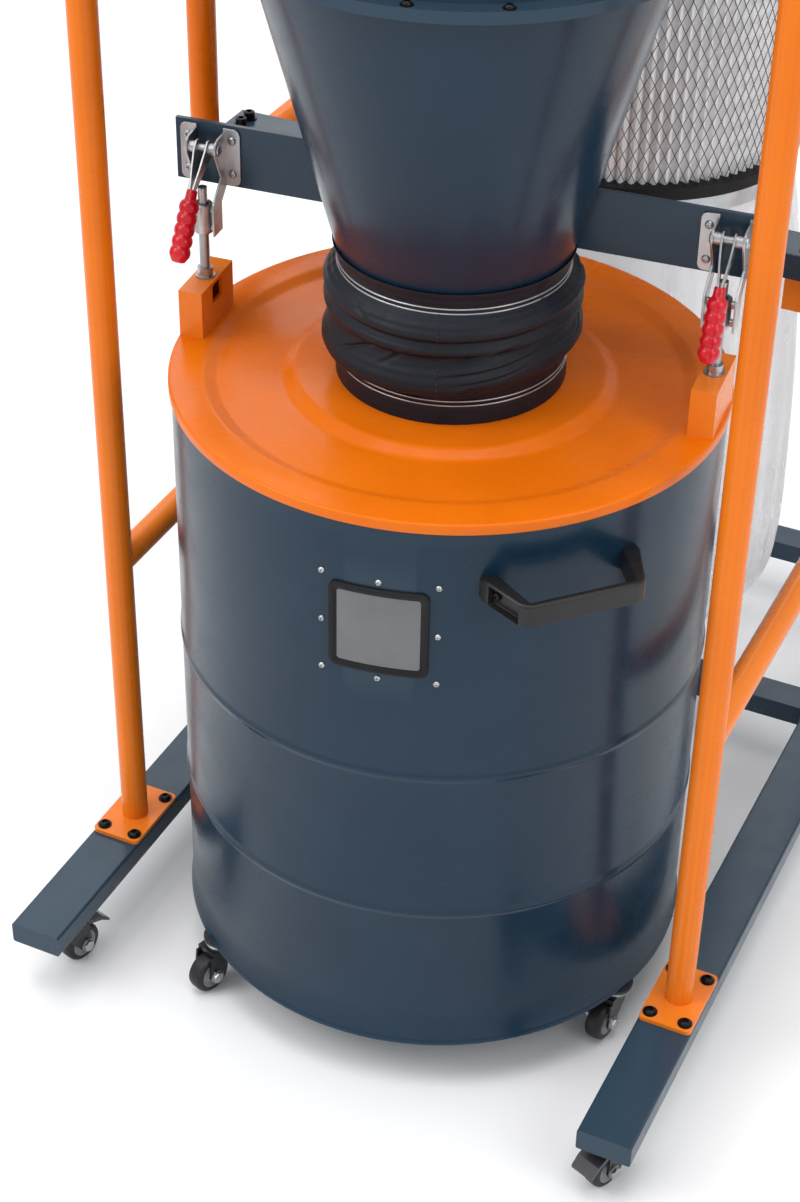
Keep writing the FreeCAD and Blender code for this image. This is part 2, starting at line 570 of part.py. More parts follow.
def caster_fork(height):
    """Built trailing towards -Y."""
    crown_top = height - 3 - SWIVEL_GAP
    crown_bottom = height - 14
    cheek = WHEEL_WIDTH / 2 + WHEEL_GAP
    sheet = 2.5
    pieces = [cyl(20.0, crown_top - 5, crown_top),
              box(-cheek - sheet, cheek + sheet, -26, 14, crown_bottom, crown_top - 4)]
    for s in (-1, 1):
        outline = [(14, crown_bottom + 1), (-30, crown_bottom + 1), (-CASTER_TRAIL - 9, WHEEL_RADIUS),
                   (-CASTER_TRAIL - 6, WHEEL_RADIUS - 7), (-CASTER_TRAIL + 6, WHEEL_RADIUS - 7)]
        pieces.append(prism(outline, cheek if s > 0 else -cheek - sheet, sheet))
    reach = cheek + sheet + 5
    pieces.append(rod(AXLE_RADIUS, V(-reach, -CASTER_TRAIL, WHEEL_RADIUS), V(reach, -CASTER_TRAIL, WHEEL_RADIUS)))
    for s in (-1, 1):
        near, far = sorted((s * (cheek + sheet), s * reach))
        pieces.append(rod(6.5, V(near, -CASTER_TRAIL, WHEEL_RADIUS), V(far, -CASTER_TRAIL, WHEEL_RADIUS)))
    return fuse(pieces).cut(cyl(KINGPIN_RADIUS + RUN_FIT, 0, height))


def brake_pedal(height):
    """Foot lever over the wheel, on the trailing side."""
    pivot = height - 17
    outline = [(-28, pivot + 3), (-52, pivot - 6), (-62, pivot - 16), (-62, pivot - 20), (-50, pivot - 11),
               (-28, pivot - 3)]
    return prism(outline, -15, 30)


def caster_wheel():
    width = WHEEL_WIDTH / 2
    lathe = [(AXLE_RADIUS + RUN_FIT, -width - 0.8), (9, -width - 0.8), (10, -width),
             (WHEEL_RADIUS - 3, -width), (WHEEL_RADIUS, -width + 4), (WHEEL_RADIUS, width - 4),
             (WHEEL_RADIUS - 3, width), (10, width), (9, width + 0.8), (AXLE_RADIUS + RUN_FIT, width + 0.8)]
    upright = turned(lathe).rotated(V(0, 0, 0), V(0, 1, 0), 90)
    return upright.translated(V(0, -CASTER_TRAIL, WHEEL_RADIUS))


# name: swivel axis x, y from the bin's axis, and the way the wheel trails (0 is -Y, + turns left to right)
rail_front = BASE_CASTER_INSET - BIN_SETBACK
rail_rear = BASE_LENGTH - BIN_SETBACK - BASE_CASTER_INSET
base_casters = {
    "base_front_left": (-POST_X, rail_front, 165.0),
    "base_front_right": (POST_X, rail_front, -20.0),
    "base_rear_left": (-POST_X, rail_rear, 150.0),
    "base_rear_right": (POST_X, rail_rear, 200.0),
}


def on_ring(degrees):
    angle = math.radians(degrees)
    return BIN_CASTER_RING * math.cos(angle), BIN_CASTER_RING * math.sin(angle)


bin_casters = {
    "bin_front_left": on_ring(-129.0) + (-18.0,),
    "bin_front_right": on_ring(-17.0) + (-9.0,),
    "bin_rear_left": on_ring(163.0) + (12.0,),
    "bin_rear_right": on_ring(51.0) + (-25.0,),
}


def place_caster(shape, x, y, trail):
    return at_bin(spun(shape, trail).translated(V(x, y, 0)))


def casters(table, height, braked, plate):
    plates = []
    for name, (x, y, trail) in table.items():
        plates.append(place_caster(caster_plate(height, plate), x, y, 0))
        fork = caster_fork(height)
        if name in braked:
            fork = fuse([fork, brake_pedal(height)])
        save(name + "_fork", place_caster(fork, x, y, trail))
        save(name + "_wheel", place_caster(caster_wheel(), x, y, trail))
    return plates


half = RAIL_WIDTH / 2 - 3
square = box(-half, half, -half, half, BASE_CASTER_HEIGHT - 3, BASE_CASTER_HEIGHT)
disc = cyl(BIN_CASTER_DISC, BIN_BOTTOM - 3, BIN_BOTTOM)
braked = ("base_front_left", "base_front_right")
save("base_caster_plates", *casters(base_casters, BASE_CASTER_HEIGHT, braked, square))
save("bin_caster_plates", *casters(bin_casters, BIN_BOTTOM, (), disc))
print("nodes:", len(os.listdir("parts")))
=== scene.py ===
# %% [markdown]
# # A dust separator on wheels
# This lesson dresses a two-stage dust separator: a steel bin under a cyclone cone, with a
# cloth bellows between them and a pleated filter behind. The hard parts were drawn in CAD
# and arrive as a frame that stays put. Our job is to give each part its finish and to model
# the things that CAD left plain, such as cloth, grips, wire and screws.

# %% Load the frame
import json
import math
import random
import bmesh
import bpy
from mathutils import Matrix, Vector, noise


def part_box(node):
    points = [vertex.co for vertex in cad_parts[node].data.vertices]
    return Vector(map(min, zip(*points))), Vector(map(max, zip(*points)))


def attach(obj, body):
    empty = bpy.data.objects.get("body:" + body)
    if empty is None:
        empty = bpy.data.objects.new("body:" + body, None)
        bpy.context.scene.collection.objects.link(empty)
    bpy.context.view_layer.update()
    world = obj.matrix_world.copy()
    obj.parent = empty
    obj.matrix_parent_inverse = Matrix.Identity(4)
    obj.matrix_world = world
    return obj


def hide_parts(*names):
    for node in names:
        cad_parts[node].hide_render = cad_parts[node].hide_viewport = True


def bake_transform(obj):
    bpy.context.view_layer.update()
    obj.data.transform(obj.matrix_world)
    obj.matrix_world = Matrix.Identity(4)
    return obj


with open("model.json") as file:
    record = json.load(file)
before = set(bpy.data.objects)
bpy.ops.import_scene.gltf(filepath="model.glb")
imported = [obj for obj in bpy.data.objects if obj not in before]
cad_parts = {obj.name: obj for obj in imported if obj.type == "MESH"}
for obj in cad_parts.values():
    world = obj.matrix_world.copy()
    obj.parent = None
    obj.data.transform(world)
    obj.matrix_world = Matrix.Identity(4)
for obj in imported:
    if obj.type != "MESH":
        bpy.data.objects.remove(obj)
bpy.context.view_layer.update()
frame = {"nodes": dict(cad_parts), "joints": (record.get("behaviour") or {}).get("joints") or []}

random.seed(7)

# %% [markdown]
# ## Camera
# A camera needs a place, a direction and a lens. Three angles say where it points: the turn
# round the upright axis, the tilt down and a small roll. Building the three axes by hand
# keeps those angles readable.

# %% Camera
CAMERA_PLACE = (0.8693, -2.2705, 2.0654)
LENS, SENSOR = 70.907, 36.0
turn, tilt, roll = (math.radians(a) for a in (24.761, 36.075, 1.105))
ahead = Vector((-math.sin(turn) * math.cos(tilt), math.cos(turn) * math.cos(tilt), -math.sin(tilt)))
level = Vector((math.cos(turn), math.sin(turn), 0.0))
over = level.cross(ahead)
right = level * math.cos(roll) + over * math.sin(roll)
above = over * math.cos(roll) - level * math.sin(roll)
camera = bpy.data.objects.new("camera", bpy.data.cameras.new("camera"))
camera.data.sensor_width = SENSOR
camera.data.lens = LENS
camera.matrix_world = Matrix((right, above, -ahead)).transposed().to_4x4()
camera.location = CAMERA_PLACE
bpy.context.scene.collection.objects.link(camera)
bpy.context.scene.camera = camera
bpy.context.scene.view_settings.view_transform = "Standard"
print("camera looks along", tuple(round(v, 3) for v in ahead))

# %% [markdown]
# ## Floor and light
# Gloss paint shows whatever stands round it, so a plain pale floor and a few large soft
# lamps give long quiet highlights. A lamp's size sets how soft its edge is.

# %% Floor and light
FLOOR_HALF = 14.0
FLOOR_DROP = 0.0005    # keeps the floor just under the feet, so that the two faces never fight


def stage_floor():
    bm = bmesh.new()
    bmesh.ops.create_grid(bm, x_segments=4, y_segments=4, size=FLOOR_HALF)
    mesh = bpy.data.meshes.new("floor")
    bm.to_mesh(mesh)
    bm.free()
    floor = bpy.data.objects.new("floor", mesh)
    bpy.context.scene.collection.objects.link(floor)
    material = bpy.data.materials.new("pale_floor")
    material.use_nodes = True
    shader = material.node_tree.nodes["Principled BSDF"]
    shader.inputs["Base Color"].default_value = (0.88, 0.88, 0.88, 1)
    shader.inputs["Roughness"].default_value = 0.9
    mesh.materials.append(material)
    floor.location.z = -FLOOR_DROP


def soft_lamp(name, place, aim, size, watts, colour=(1.0, 1.0, 1.0)):
    lamp = bpy.data.lights.new(name, "AREA")
    lamp.shape = "RECTANGLE"
    lamp.size, lamp.size_y = size
    lamp.energy = watts
    lamp.color = colour
    holder = bpy.data.objects.new(name, lamp)
    holder.location = place
    holder.rotation_mode = "QUATERNION"
    holder.rotation_quaternion = (Vector(aim) - Vector(place)).to_track_quat("-Z", "Y")
    bpy.context.scene.collection.objects.link(holder)


stage_floor()
soft_lamp("key_lamp", (-2.4, -2.6, 3.6), (0, -0.3, 0.6), (2.2, 2.2), 66)
soft_lamp("side_lamp", (3.2, -1.2, 2.6), (0, -0.2, 0.7), (1.4, 2.6), 31)
soft_lamp("back_lamp", (-1.5, 3.0, 3.3), (0, -0.4, 0.8), (3.2, 2.0), 34)
soft_lamp("top_lamp", (0.0, -0.6, 4.6), (0, -0.6, 0.0), (3.0, 3.0), 108)
world = bpy.data.worlds.new("studio")
world.use_nodes = True
backdrop = world.node_tree.nodes["Background"]
backdrop.inputs["Color"].default_value = (0.95, 0.97, 1.0, 1)
backdrop.inputs["Strength"].default_value = 0.77
bpy.context.scene.world = world
print("lamps", len(bpy.data.lights))

# %% [markdown]
# ## Finishes
# Every finish is a small node tree. The helpers below add one idea each: `speckle` is noise
# in the model's own coordinates, `spread` maps a value to a useful range, `tint` turns it
# into colour and `relief` turns it into bump. Real surfaces are never one flat value, so
# colour, roughness and bump all vary a little.

# %% Finish helpers
def speckle(tree, scale, detail=3.0, stretch=(1, 1, 1)):
    where = tree.nodes.new("ShaderNodeTexCoord")
    place = tree.nodes.new("ShaderNodeMapping")
    place.inputs["Scale"].default_value = stretch
    grain = tree.nodes.new("ShaderNodeTexNoise")
    grain.inputs["Scale"].default_value = scale
    grain.inputs["Detail"].default_value = detail
    tree.links.new(where.outputs["Object"], place.inputs["Vector"])
    tree.links.new(place.outputs["Vector"], grain.inputs["Vector"])
    return grain.outputs["Fac"]


def spread(tree, value, low, high, start=0.3, end=0.7):
    node = tree.nodes.new("ShaderNodeMapRange")
    for name, number in (("From Min", start), ("From Max", end), ("To Min", low), ("To Max", high)):
        node.inputs[name].default_value = number
    tree.links.new(value, node.inputs["Value"])
    return node.outputs["Result"]


def tint(tree, value, first, second, start=0.35, end=0.65):
    node = tree.nodes.new("ShaderNodeValToRGB")
    for stop, place, colour in zip(node.color_ramp.elements, (start, end), (first, second)):
        stop.position = place
        stop.color = (*colour, 1)
    tree.links.new(value, node.inputs["Fac"])
    return node.outputs["Color"]


def relief(tree, height, depth, strength=0.4):
    node = tree.nodes.new("ShaderNodeBump")
    node.inputs["Strength"].default_value = strength
    node.inputs["Distance"].default_value = depth
    tree.links.new(height, node.inputs["Height"])
    return node.outputs["Normal"]


def finish(name, dark, light, rough, grain, depth, coarse=6.0, painted_edge_highlight=None, stretch=(1, 1, 1), **sockets):
    """A shader with blotches between two colours, uneven gloss, a fine grain and a painted highlight
    that lightens its sharp edges.
    """
    material = bpy.data.materials.new(name)
    material.use_nodes = True
    tree = material.node_tree
    shader = tree.nodes["Principled BSDF"]
    blotch = speckle(tree, coarse, 5.0, stretch)
    colour = tint(tree, blotch, dark, light)
    # Sharp convex edges are mixed towards a lighter colour: this is a painted edge highlight.
    if painted_edge_highlight is not None:
        shape = tree.nodes.new("ShaderNodeNewGeometry")
        edge = spread(tree, shape.outputs["Pointiness"], 0.0, 0.55, 0.53, 0.60)
        mix = tree.nodes.new("ShaderNodeMix")
        mix.data_type = "RGBA"
        tree.links.new(edge, mix.inputs["Factor"])
        tree.links.new(colour, mix.inputs["A"])
        mix.inputs["B"].default_value = (*painted_edge_highlight, 1)
        colour = mix.outputs["Result"]
    tree.links.new(colour, shader.inputs["Base Color"])
    haze = speckle(tree, coarse * 4, 4.0, stretch)
    tree.links.new(spread(tree, haze, rough[0], rough[1]), shader.inputs["Roughness"])
    tree.links.new(relief(tree, speckle(tree, grain, 2.0, stretch), depth), shader.inputs["Normal"])
    for socket, number in sockets.items():
        shader.inputs[socket.replace("_", " ")].default_value = number
    return material


# %% [markdown]
# The separator wears few finishes. Two powder coats, navy and orange, cover the steel. They
# are glossy with a slight orange-peel skin, which is a soft bump a few millimetres across.
# Zinc plate, black-oxide screws, dipped vinyl grips, moulded plastic, rubber and coated
# cloth do the rest.

# %% The finishes
# The edge colour given to the navy, orange, plastic, black steel and motor enamel finishes is a painted
# highlight on their sharp edges.
NAVY = finish("navy_powder_coat", (0.0056, 0.0215, 0.0415), (0.0080, 0.0272, 0.0515), (0.20, 0.30),
              420.0, 0.0003, painted_edge_highlight=(0.04, 0.07, 0.10), Specular_IOR_Level=0.22, Coat_Weight=0.08,
              Coat_Roughness=0.10)
ORANGE = finish("orange_powder_coat", (0.69, 0.136, 0.002), (0.77, 0.162, 0.003), (0.22, 0.32),
                420.0, 0.0003, painted_edge_highlight=(0.85, 0.24, 0.03), Specular_IOR_Level=0.16, Coat_Weight=0.06,
                Coat_Roughness=0.10)
ZINC = finish("bright_zinc", (0.40, 0.41, 0.42), (0.52, 0.525, 0.53), (0.30, 0.42), 700.0, 0.00003,
              coarse=45.0, Metallic=1.0)
VINYL = finish("red_dipped_vinyl", (0.50, 0.002, 0.010), (0.62, 0.004, 0.016), (0.22, 0.32), 260.0,
               0.0003, coarse=30.0, Specular_IOR_Level=0.35, Coat_Weight=0.2, Coat_Roughness=0.10)
# Its edge colour is a painted highlight.
PLASTIC = finish("black_moulded_plastic", (0.007, 0.007, 0.008), (0.012, 0.012, 0.013), (0.32, 0.44),
                 1900.0, 0.0002, coarse=20.0, painted_edge_highlight=(0.05, 0.05, 0.05), Specular_IOR_Level=0.32)
RUBBER = finish("black_rubber", (0.005, 0.005, 0.006), (0.009, 0.009, 0.010), (0.45, 0.6), 1200.0,
                0.0003, coarse=25.0, Specular_IOR_Level=0.22)
# Its edge colour is a painted highlight.
BLACK_STEEL = finish("black_steel", (0.006, 0.006, 0.007), (0.011, 0.011, 0.013), (0.24, 0.36), 800.0,
                     0.0002, coarse=40.0, painted_edge_highlight=(0.06, 0.06, 0.07), Specular_IOR_Level=0.35,
                     Coat_Weight=0.15)
OXIDE = finish("black_oxide_screw", (0.010, 0.010, 0.012), (0.022, 0.022, 0.024), (0.30, 0.42), 1500.0,
               0.0002, coarse=200.0, Metallic=0.8)
TYRE = finish("tyre_rubber", (0.009, 0.009, 0.010), (0.016, 0.016, 0.017), (0.40, 0.56), 900.0, 0.0003,
              coarse=60.0, Specular_IOR_Level=0.35)
HUB = finish("grey_hub", (0.20, 0.21, 0.22), (0.27, 0.28, 0.29), (0.35, 0.45), 900.0, 0.0002,
             coarse=80.0)
# Its edge colour is a painted highlight.
CASTING = finish("motor_enamel", (0.020, 0.034, 0.052), (0.028, 0.044, 0.066), (0.38, 0.5), 260.0,
                 0.0008, painted_edge_highlight=(0.08, 0.10, 0.13))
print("finishes", len(bpy.data.materials))

# %% [markdown]
# ## Places from the frame
# Positions come from the CAD boxes, so the pieces fit with no guessing. Two upright axes
# matter most: the bin's and the filter's.

# %% Places from the frame
low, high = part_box("bin_wall")
BIN_AXIS = Vector(((low.x + high.x) / 2, (low.y + high.y) / 2, 0.0))
BIN_TOP = high.z
low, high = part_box("filter_cartridge")
FILTER_AXIS = Vector((0.0, (low.y + high.y) / 2, 0.0))
FILTER_LOW, FILTER_HIGH = low.z, high.z
CYCLONE_TURN = math.radians(5.5)
CYCLONE_SPIN = Matrix.Rotation(CYCLONE_TURN, 3, "Z")
POST_RADIUS = 0.016
low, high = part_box("rear_posts")
POST_X = (high.x - low.x) / 2 - POST_RADIUS
print("bin axis", tuple(BIN_AXIS), "filter axis", tuple(FILTER_AXIS), "posts at", POST_X)


def on_cyclone(x, y, z):
    """A place given square to the clamp plates, which sit turned on the frame."""
    return CYCLONE_SPIN @ Vector((x, y, z)) + BIN_AXIS


# %% [markdown]
# ## Building helpers
# Most of this machine is round, so the main tool is `skin`: a list of rings joined by
# quads. `spin` makes those rings from an outline of radius and height. `soft` rounds an
# outline's corners first, because a real edge always catches a line of light. `polar` and
# `turns` save writing the same sines and cosines over and over.

# %% Building helpers
def polar(radius, angle, height=0.0):
    """A point given by its distance from the upright axis, its angle and its height."""
    return Vector((radius * math.cos(angle), radius * math.sin(angle), height))


def turns(steps):
    """Equal angles once round a circle."""
    return [2 * math.pi * i / steps for i in range(steps)]


def skin(bm, rings, around=True, stacked=False):
    """Quads between neighbouring rings of points. Returns the rings' vertices."""
    rows = [[bm.verts.new(p) for p in ring] for ring in rings]
    pairs = list(zip(rows, rows[1:])) + ([(rows[-1], rows[0])] if stacked else [])
    count = len(rows[0])
    for a, b in pairs:
        for i in range(count if around else count - 1):
            j = (i + 1) % count
            bm.faces.new((a[i], a[j], b[j], b[i]))
    return rows


def soft(outline, radius, steps=4, closed=True):
    """The outline with each corner rounded. The radius shrinks where a side is short."""
    points = [Vector(p) for p in outline]
    done = []
    for i, here in enumerate(points):
        if not closed and i in (0, len(points) - 1):
            done.append(here)
            continue
        back, ahead = points[i - 1] - here, points[(i + 1) % len(points)] - here
        reach = min(radius, back.length * 0.45, ahead.length * 0.45)
        a, b = here + back.normalized() * reach, here + ahead.normalized() * reach
        for k in range(steps + 1):
            t = k / steps
            done.append(a * (1 - t) ** 2 + here * 2 * t * (1 - t) + b * t * t)
    return done


def close_ends(bm, rows):
    bm.faces.new(rows[0])
    bm.faces.new(rows[-1])


def capped(bm, rings):
    """A skin whose first and last rings are closed by a face each."""
    close_ends(bm, skin(bm, rings))


def spin(bm, outline, steps=96, centre=Vector((0, 0, 0)), closed=True):
    """Revolve an outline of (radius, height) points about the upright axis at centre."""
    rings = [[centre + polar(r, a, z) for a in turns(steps)] for r, z in outline]
    return skin(bm, rings, stacked=closed)


def spin_at(bm, outline, steps, place, closed=True):
    """Revolve an outline about its own axis, then carry it to a place given as a matrix."""
    before = set(bm.verts)
    spin(bm, outline, steps, closed=closed)
    bmesh.ops.transform(bm, matrix=place, verts=[v for v in bm.verts if v not in before])


def piece(name, bm, material, body, replaced=(), crease=38.0, place=None):
    """Turn a bmesh into a finished piece that rides on a body."""
    if place is not None:
        bm.transform(place)
    bmesh.ops.recalc_face_normals(bm, faces=bm.faces)
    mesh = bpy.data.meshes.new(name)
    bm.to_mesh(mesh)
    bm.free()
    mesh.polygons.foreach_set("use_smooth", [True] * len(mesh.polygons))
    mesh.set_sharp_from_angle(angle=math.radians(crease))
    mesh.materials.append(material)
    made = bpy.data.objects.new(name, mesh)
    bpy.context.scene.collection.objects.link(made)
    if body is not None:
        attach(made, body)
    if replaced:
        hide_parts(*replaced)
    return made


def dress(material, *nodes):
    """Give CAD nodes whose shape is right a better finish."""
    for node in nodes:
        mesh = frame["nodes"][node].data
        mesh.materials.clear()
        mesh.materials.append(material)


def bevel(made, width, segments=2):
    modifier = made.modifiers.new("edge", "BEVEL")
    modifier.width = width
    modifier.segments = segments
    modifier.limit_method = "ANGLE"
    modifier.angle_limit = math.radians(35)
    return made


def aimed(place, direction):
    """A matrix that stands a part modelled along +Z on place, pointing along direction."""
    turned = Vector(direction).to_track_quat("Z", "Y").to_matrix().to_4x4()
    return Matrix.Translation(place) @ turned


print("building helpers ready")

# %% [markdown]
# ## Fasteners
# A screw head is a short turned form with a recess. The recess is a ring whose radius
# depends on the angle: six-sided for a hexagon key, a plus for a cross driver. One function
# covers pan heads, button heads and socket heads. Lone screws are modelled instead of painted
# on, because each one casts a small shadow.

# %% Fasteners
def hex_reach(angle, flats):
    """How far a hexagon reaches from its middle at an angle."""
    return flats / 2 / math.cos((angle + math.pi / 6) % (math.pi / 3) - math.pi / 6)


def cross_reach(angle, size):
    """The same for a cross whose arms are about a fifth as wide as they are long."""
    c, s = abs(math.cos(angle)) + 1e-6, abs(math.sin(angle)) + 1e-6
    return max(min(size / c, size * 0.22 / s), min(size / s, size * 0.22 / c))


def screw_head(bm, place, direction, radius, height, recess, dome=0.5, steps=24):
    """dome is how much of the height curves: 1 is a button, 0 is a straight-sided socket head."""
    where = aimed(place, direction)
    angles = turns(steps)
    straight = height * (1 - dome)
    rings = [(radius, 0.0), (radius, straight * 0.9), (radius * 0.97, straight + height * dome * 0.25),
             (radius * 0.84, straight + height * dome * 0.7), (radius * 0.62, height)]
    made = [[where @ polar(r, a, z) for a in angles] for r, z in rings]
    for depth, share in ((height, 1.0), (height * 0.45, 0.92)):
        reach = [share * (hex_reach(a, radius) if recess == "hex" else cross_reach(a, radius * 0.6))
                 for a in angles]
        made.append([where @ polar(r, a, depth) for r, a in zip(reach, angles)])
    capped(bm, made)


def hex_nut(bm, place, direction, flats, height):
    where = aimed(place, direction)
    angles = turns(24)
    rings = []
    for z, chamfer in ((0.0, 1), (height * 0.12, 0), (height * 0.88, 0), (height, 1)):
        reach = [min(hex_reach(a, flats), flats * 0.52) if chamfer else hex_reach(a, flats)
                 for a in angles]
        rings.append([where @ polar(r, a, z) for r, a in zip(reach, angles)])
    capped(bm, rings)


def washer(bm, place, direction, outer, thick):
    rings = [(outer * 0.5, 0.0), (outer, 0.0), (outer, thick), (outer * 0.5, thick)]
    spin_at(bm, rings, 24, aimed(place, direction))


print("fastener kit ready")

# %% [markdown]
# ## The wheeled base
# The base is rectangular tube. Its CAD shape is right, so it only needs paint, and so do most
# of the other steel parts. Four feet are bolted down with black button heads, which are
# added here.

# %% Base and feet
dress(NAVY, "base_rails", "base_crossbars", "cross_tube", "clamp_plates", "barrel_collar", "fan_housing",
      "filter_cap", "outlet_duct", "cyclone_barrel", "inlet_section", "inlet_spigot", "joint_flange",
      "filter_arms", "bin_bottom")
dress(ORANGE, "foot_plates", "cross_tube_blocks", "side_hoops", "rear_posts", "side_tubes",
      "lid_brackets")
bevel(frame["nodes"]["lid_brackets"], 0.0012, 2)
bevel(frame["nodes"]["clamp_plates"], 0.0008, 2)
foot_low, foot_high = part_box("foot_plates")
FOOT_LENGTH = 0.100
HOLE_X, HOLE_Y = 0.021, 0.038
screws = bmesh.new()
for side in (-1, 1):
    for foot_y in (foot_low.y + FOOT_LENGTH / 2, foot_high.y - FOOT_LENGTH / 2):
        for across, along in ((-1, -1), (1, -1), (-1, 1), (1, 1)):
            at = Vector((side * POST_X + across * HOLE_X, foot_y + along * HOLE_Y, foot_high.z))
            washer(screws, at, (0, 0, 1), 0.0085, 0.0012)
            screw_head(screws, at + Vector((0, 0, 0.001)), (0, 0, 1), 0.0068, 0.0042, "hex", dome=0.9)
piece("foot_screws", screws, OXIDE, "frame")
dress(CASTING, "fan_motor", "motor_cowl")
dress(ZINC, "clamp_bases", "clamp_spindles", "lever_left", "lever_right", "bag_band")
dress(VINYL, "grip_left", "grip_right")
dress(RUBBER, "lid_seal", "window_seal", "filter_ring")
dress(PLASTIC, "bin_handles")
for node in frame["nodes"]:
    if node.endswith("_fork") or node.endswith("caster_plates"):
        dress(BLACK_STEEL, node)
    if node.endswith("_wheel"):
        dress(TYRE, node)
print("feet lie between", round(foot_low.y, 3), "and", round(foot_high.y, 3))

# %% [markdown]
# ## The bin
# The bin is rolled steel sheet: a straight wall, two stiffening beads and a rolled foot. An
# outline revolved in many steps gives a smooth wall. The window's hole follows the grid's own
# lines, so its faces are deleted and its edges bridged. A boolean cut would leave long thin
# faces there, and they would spoil the shading.

# %% Bin wall
BIN_R, BIN_SHEET, BIN_LIP = 0.297, 0.002, 0.011
BEAD_HEIGHTS = (0.270, 0.463)
WINDOW_TURN = math.radians(-90 + 11.0)
WINDOW_Z, WINDOW_HALF = 0.6485, 0.039


def bead(height):
    """A rounded ridge, from (up, out) points in millimetres."""
    half = [(-8.0, 0.0), (-5.6, 0.25), (-3.4, 1.0), (-1.2, 1.7)]
    bump = half + [(-up, out) for up, out in reversed(half)]
    return [(BIN_R + out / 1000, height + up / 1000) for up, out in bump]


def bin_wall():
    inside = BIN_R - BIN_SHEET
    bottom, top = WINDOW_Z - WINDOW_HALF, WINDOW_Z + WINDOW_HALF
    outline = [(inside, 0.068), (BIN_R + 0.0018, 0.068), (BIN_R + 0.003, 0.0692),
               (BIN_R + 0.003, 0.0718), (BIN_R + 0.0018, 0.074), (BIN_R, 0.077), (BIN_R, 0.12)]
    outline += [point for height in BEAD_HEIGHTS for point in bead(height)]
    outline += [(BIN_R, 0.55), (BIN_R, bottom), (BIN_R, top), (BIN_R, 0.74), (BIN_R, BIN_TOP - 0.0012),
                (BIN_R - 0.0012, BIN_TOP), (BIN_R - BIN_LIP, BIN_TOP),
                (BIN_R - BIN_LIP, BIN_TOP - BIN_SHEET), (inside, BIN_TOP - BIN_SHEET), (inside, top),
                (inside, bottom)]
    half = WINDOW_HALF / BIN_R
    edges = [2 * math.pi + WINDOW_TURN - half, 2 * math.pi + WINDOW_TURN + half]
    angles = sorted([a for a in turns(240) if min(abs(a - b) for b in edges) > 0.006] + edges)
    bm = bmesh.new()
    skin(bm, [[BIN_AXIS + polar(r, a, z) for a in angles] for r, z in outline], stacked=True)
    gone = []
    for face in bm.faces:
        middle = face.calc_center_median() - BIN_AXIS
        aside = abs(math.atan2(middle.y, middle.x) - WINDOW_TURN)
        if aside < half and abs(middle.z - WINDOW_Z) < WINDOW_HALF:
            gone.append(face)
    bmesh.ops.delete(bm, geom=gone, context="FACES")
    open_edges = [e for e in bm.edges if e.is_boundary]
    bmesh.ops.bridge_loops(bm, edges=open_edges)
    return piece("bin_shell", bm, NAVY, "bin", ["bin_wall"])


print("bin wall faces", len(bin_wall().data.polygons))

# %% [markdown]
# ## The window
# A clear plate looks into the bin, held in a black rubber frame. Both follow the round wall,
# so a flat outline is wrapped round the bin's axis. A lattice or a shrinkwrap could bend a
# flat frame too, but a formula is exact. Eight small pan heads hold a clamp ring inside the
# wall.

# %% Window
def wrapped(across, up, radius):
    """A place on the bin's wall: metres across from the window's middle, height, radius."""
    angle = WINDOW_TURN + across / BIN_R
    return BIN_AXIS + polar(radius, angle, WINDOW_Z + up)


def rounded_square(half, corner, steps=6, sides=8):
    """Points round a square with round corners, with extra points along its sides."""
    points = []
    for quarter in range(4):
        middle = math.pi / 4 + quarter * math.pi / 2
        cx = (half - corner) * math.copysign(1, math.cos(middle))
        cy = (half - corner) * math.copysign(1, math.sin(middle))
        for k in range(steps + 1):
            a = quarter * math.pi / 2 + k / steps * math.pi / 2
            points.append((cx + corner * math.cos(a), cy + corner * math.sin(a)))
        a = (quarter + 1) * math.pi / 2
        end = points[-1]
        length = 2 * (half - corner)
        for k in range(1, sides):
            points.append((end[0] - math.sin(a) * length * k / sides,
                           end[1] + math.cos(a) * length * k / sides))
    return points


def window_frame():
    bm = bmesh.new()
    profile = [(0.0520, 0.0090, 0.0002), (0.0520, 0.0090, 0.0022), (0.0508, 0.0080, 0.0038),
               (0.0485, 0.0065, 0.0041), (0.0462, 0.0050, 0.0036), (0.0452, 0.0045, 0.0024),
               (0.0440, 0.0040, 0.0022), (0.0430, 0.0035, 0.0012), (0.0430, 0.0035, 0.0002)]
    skin(bm, [[wrapped(x, y, BIN_R + out) for x, y in rounded_square(half, corner)]
              for half, corner, out in profile], stacked=True)
    piece("window_frame", bm, RUBBER, "bin", ["window_seal"])


def window_plate(columns=16, rows=4, half=0.0432):
    """A thin curved plate: two grids joined by a strip of faces round their edge."""
    bm = bmesh.new()
    sheets = []
    for out in (0.0015, 0.0005):
        grid = [[wrapped(-half + 2 * half * i / columns, -half + 2 * half * j / rows, BIN_R + out)
                 for i in range(columns + 1)] for j in range(rows + 1)]
        sheets.append(skin(bm, grid, around=False))
    front, back = ([r[0] for r in grid] + grid[-1][1:] + [r[-1] for r in grid[-2::-1]] + grid[0][-2:0:-1]
                   for grid in sheets)
    for i in range(len(front)):
        j = (i + 1) % len(front)
        bm.faces.new((front[i], front[j], back[j], back[i]))
    piece("window_plate", bm, CLEAR, "bin", ["window_pane"])


def window_screws():
    bm = bmesh.new()
    for across, up in ((-1, 1), (0, 1), (1, 1), (-1, 0), (1, 0), (-1, -1), (0, -1), (1, -1)):
        at = wrapped(across * 0.0605, up * 0.0595, BIN_R)
        screw_head(bm, at, at - BIN_AXIS - Vector((0, 0, at.z)), 0.0036, 0.0024, "cross", dome=0.9)
    piece("window_screws", bm, ZINC, "bin")


CLEAR = finish("clear_window", (0.085, 0.087, 0.092), (0.105, 0.107, 0.112), (0.10, 0.2), 900.0, 0.00005,
               coarse=18.0, Coat_Weight=0.6, Coat_Roughness=0.05)
window_frame()
window_plate()
window_screws()
print("window middle", tuple(round(v, 4) for v in wrapped(0, 0, BIN_R)))

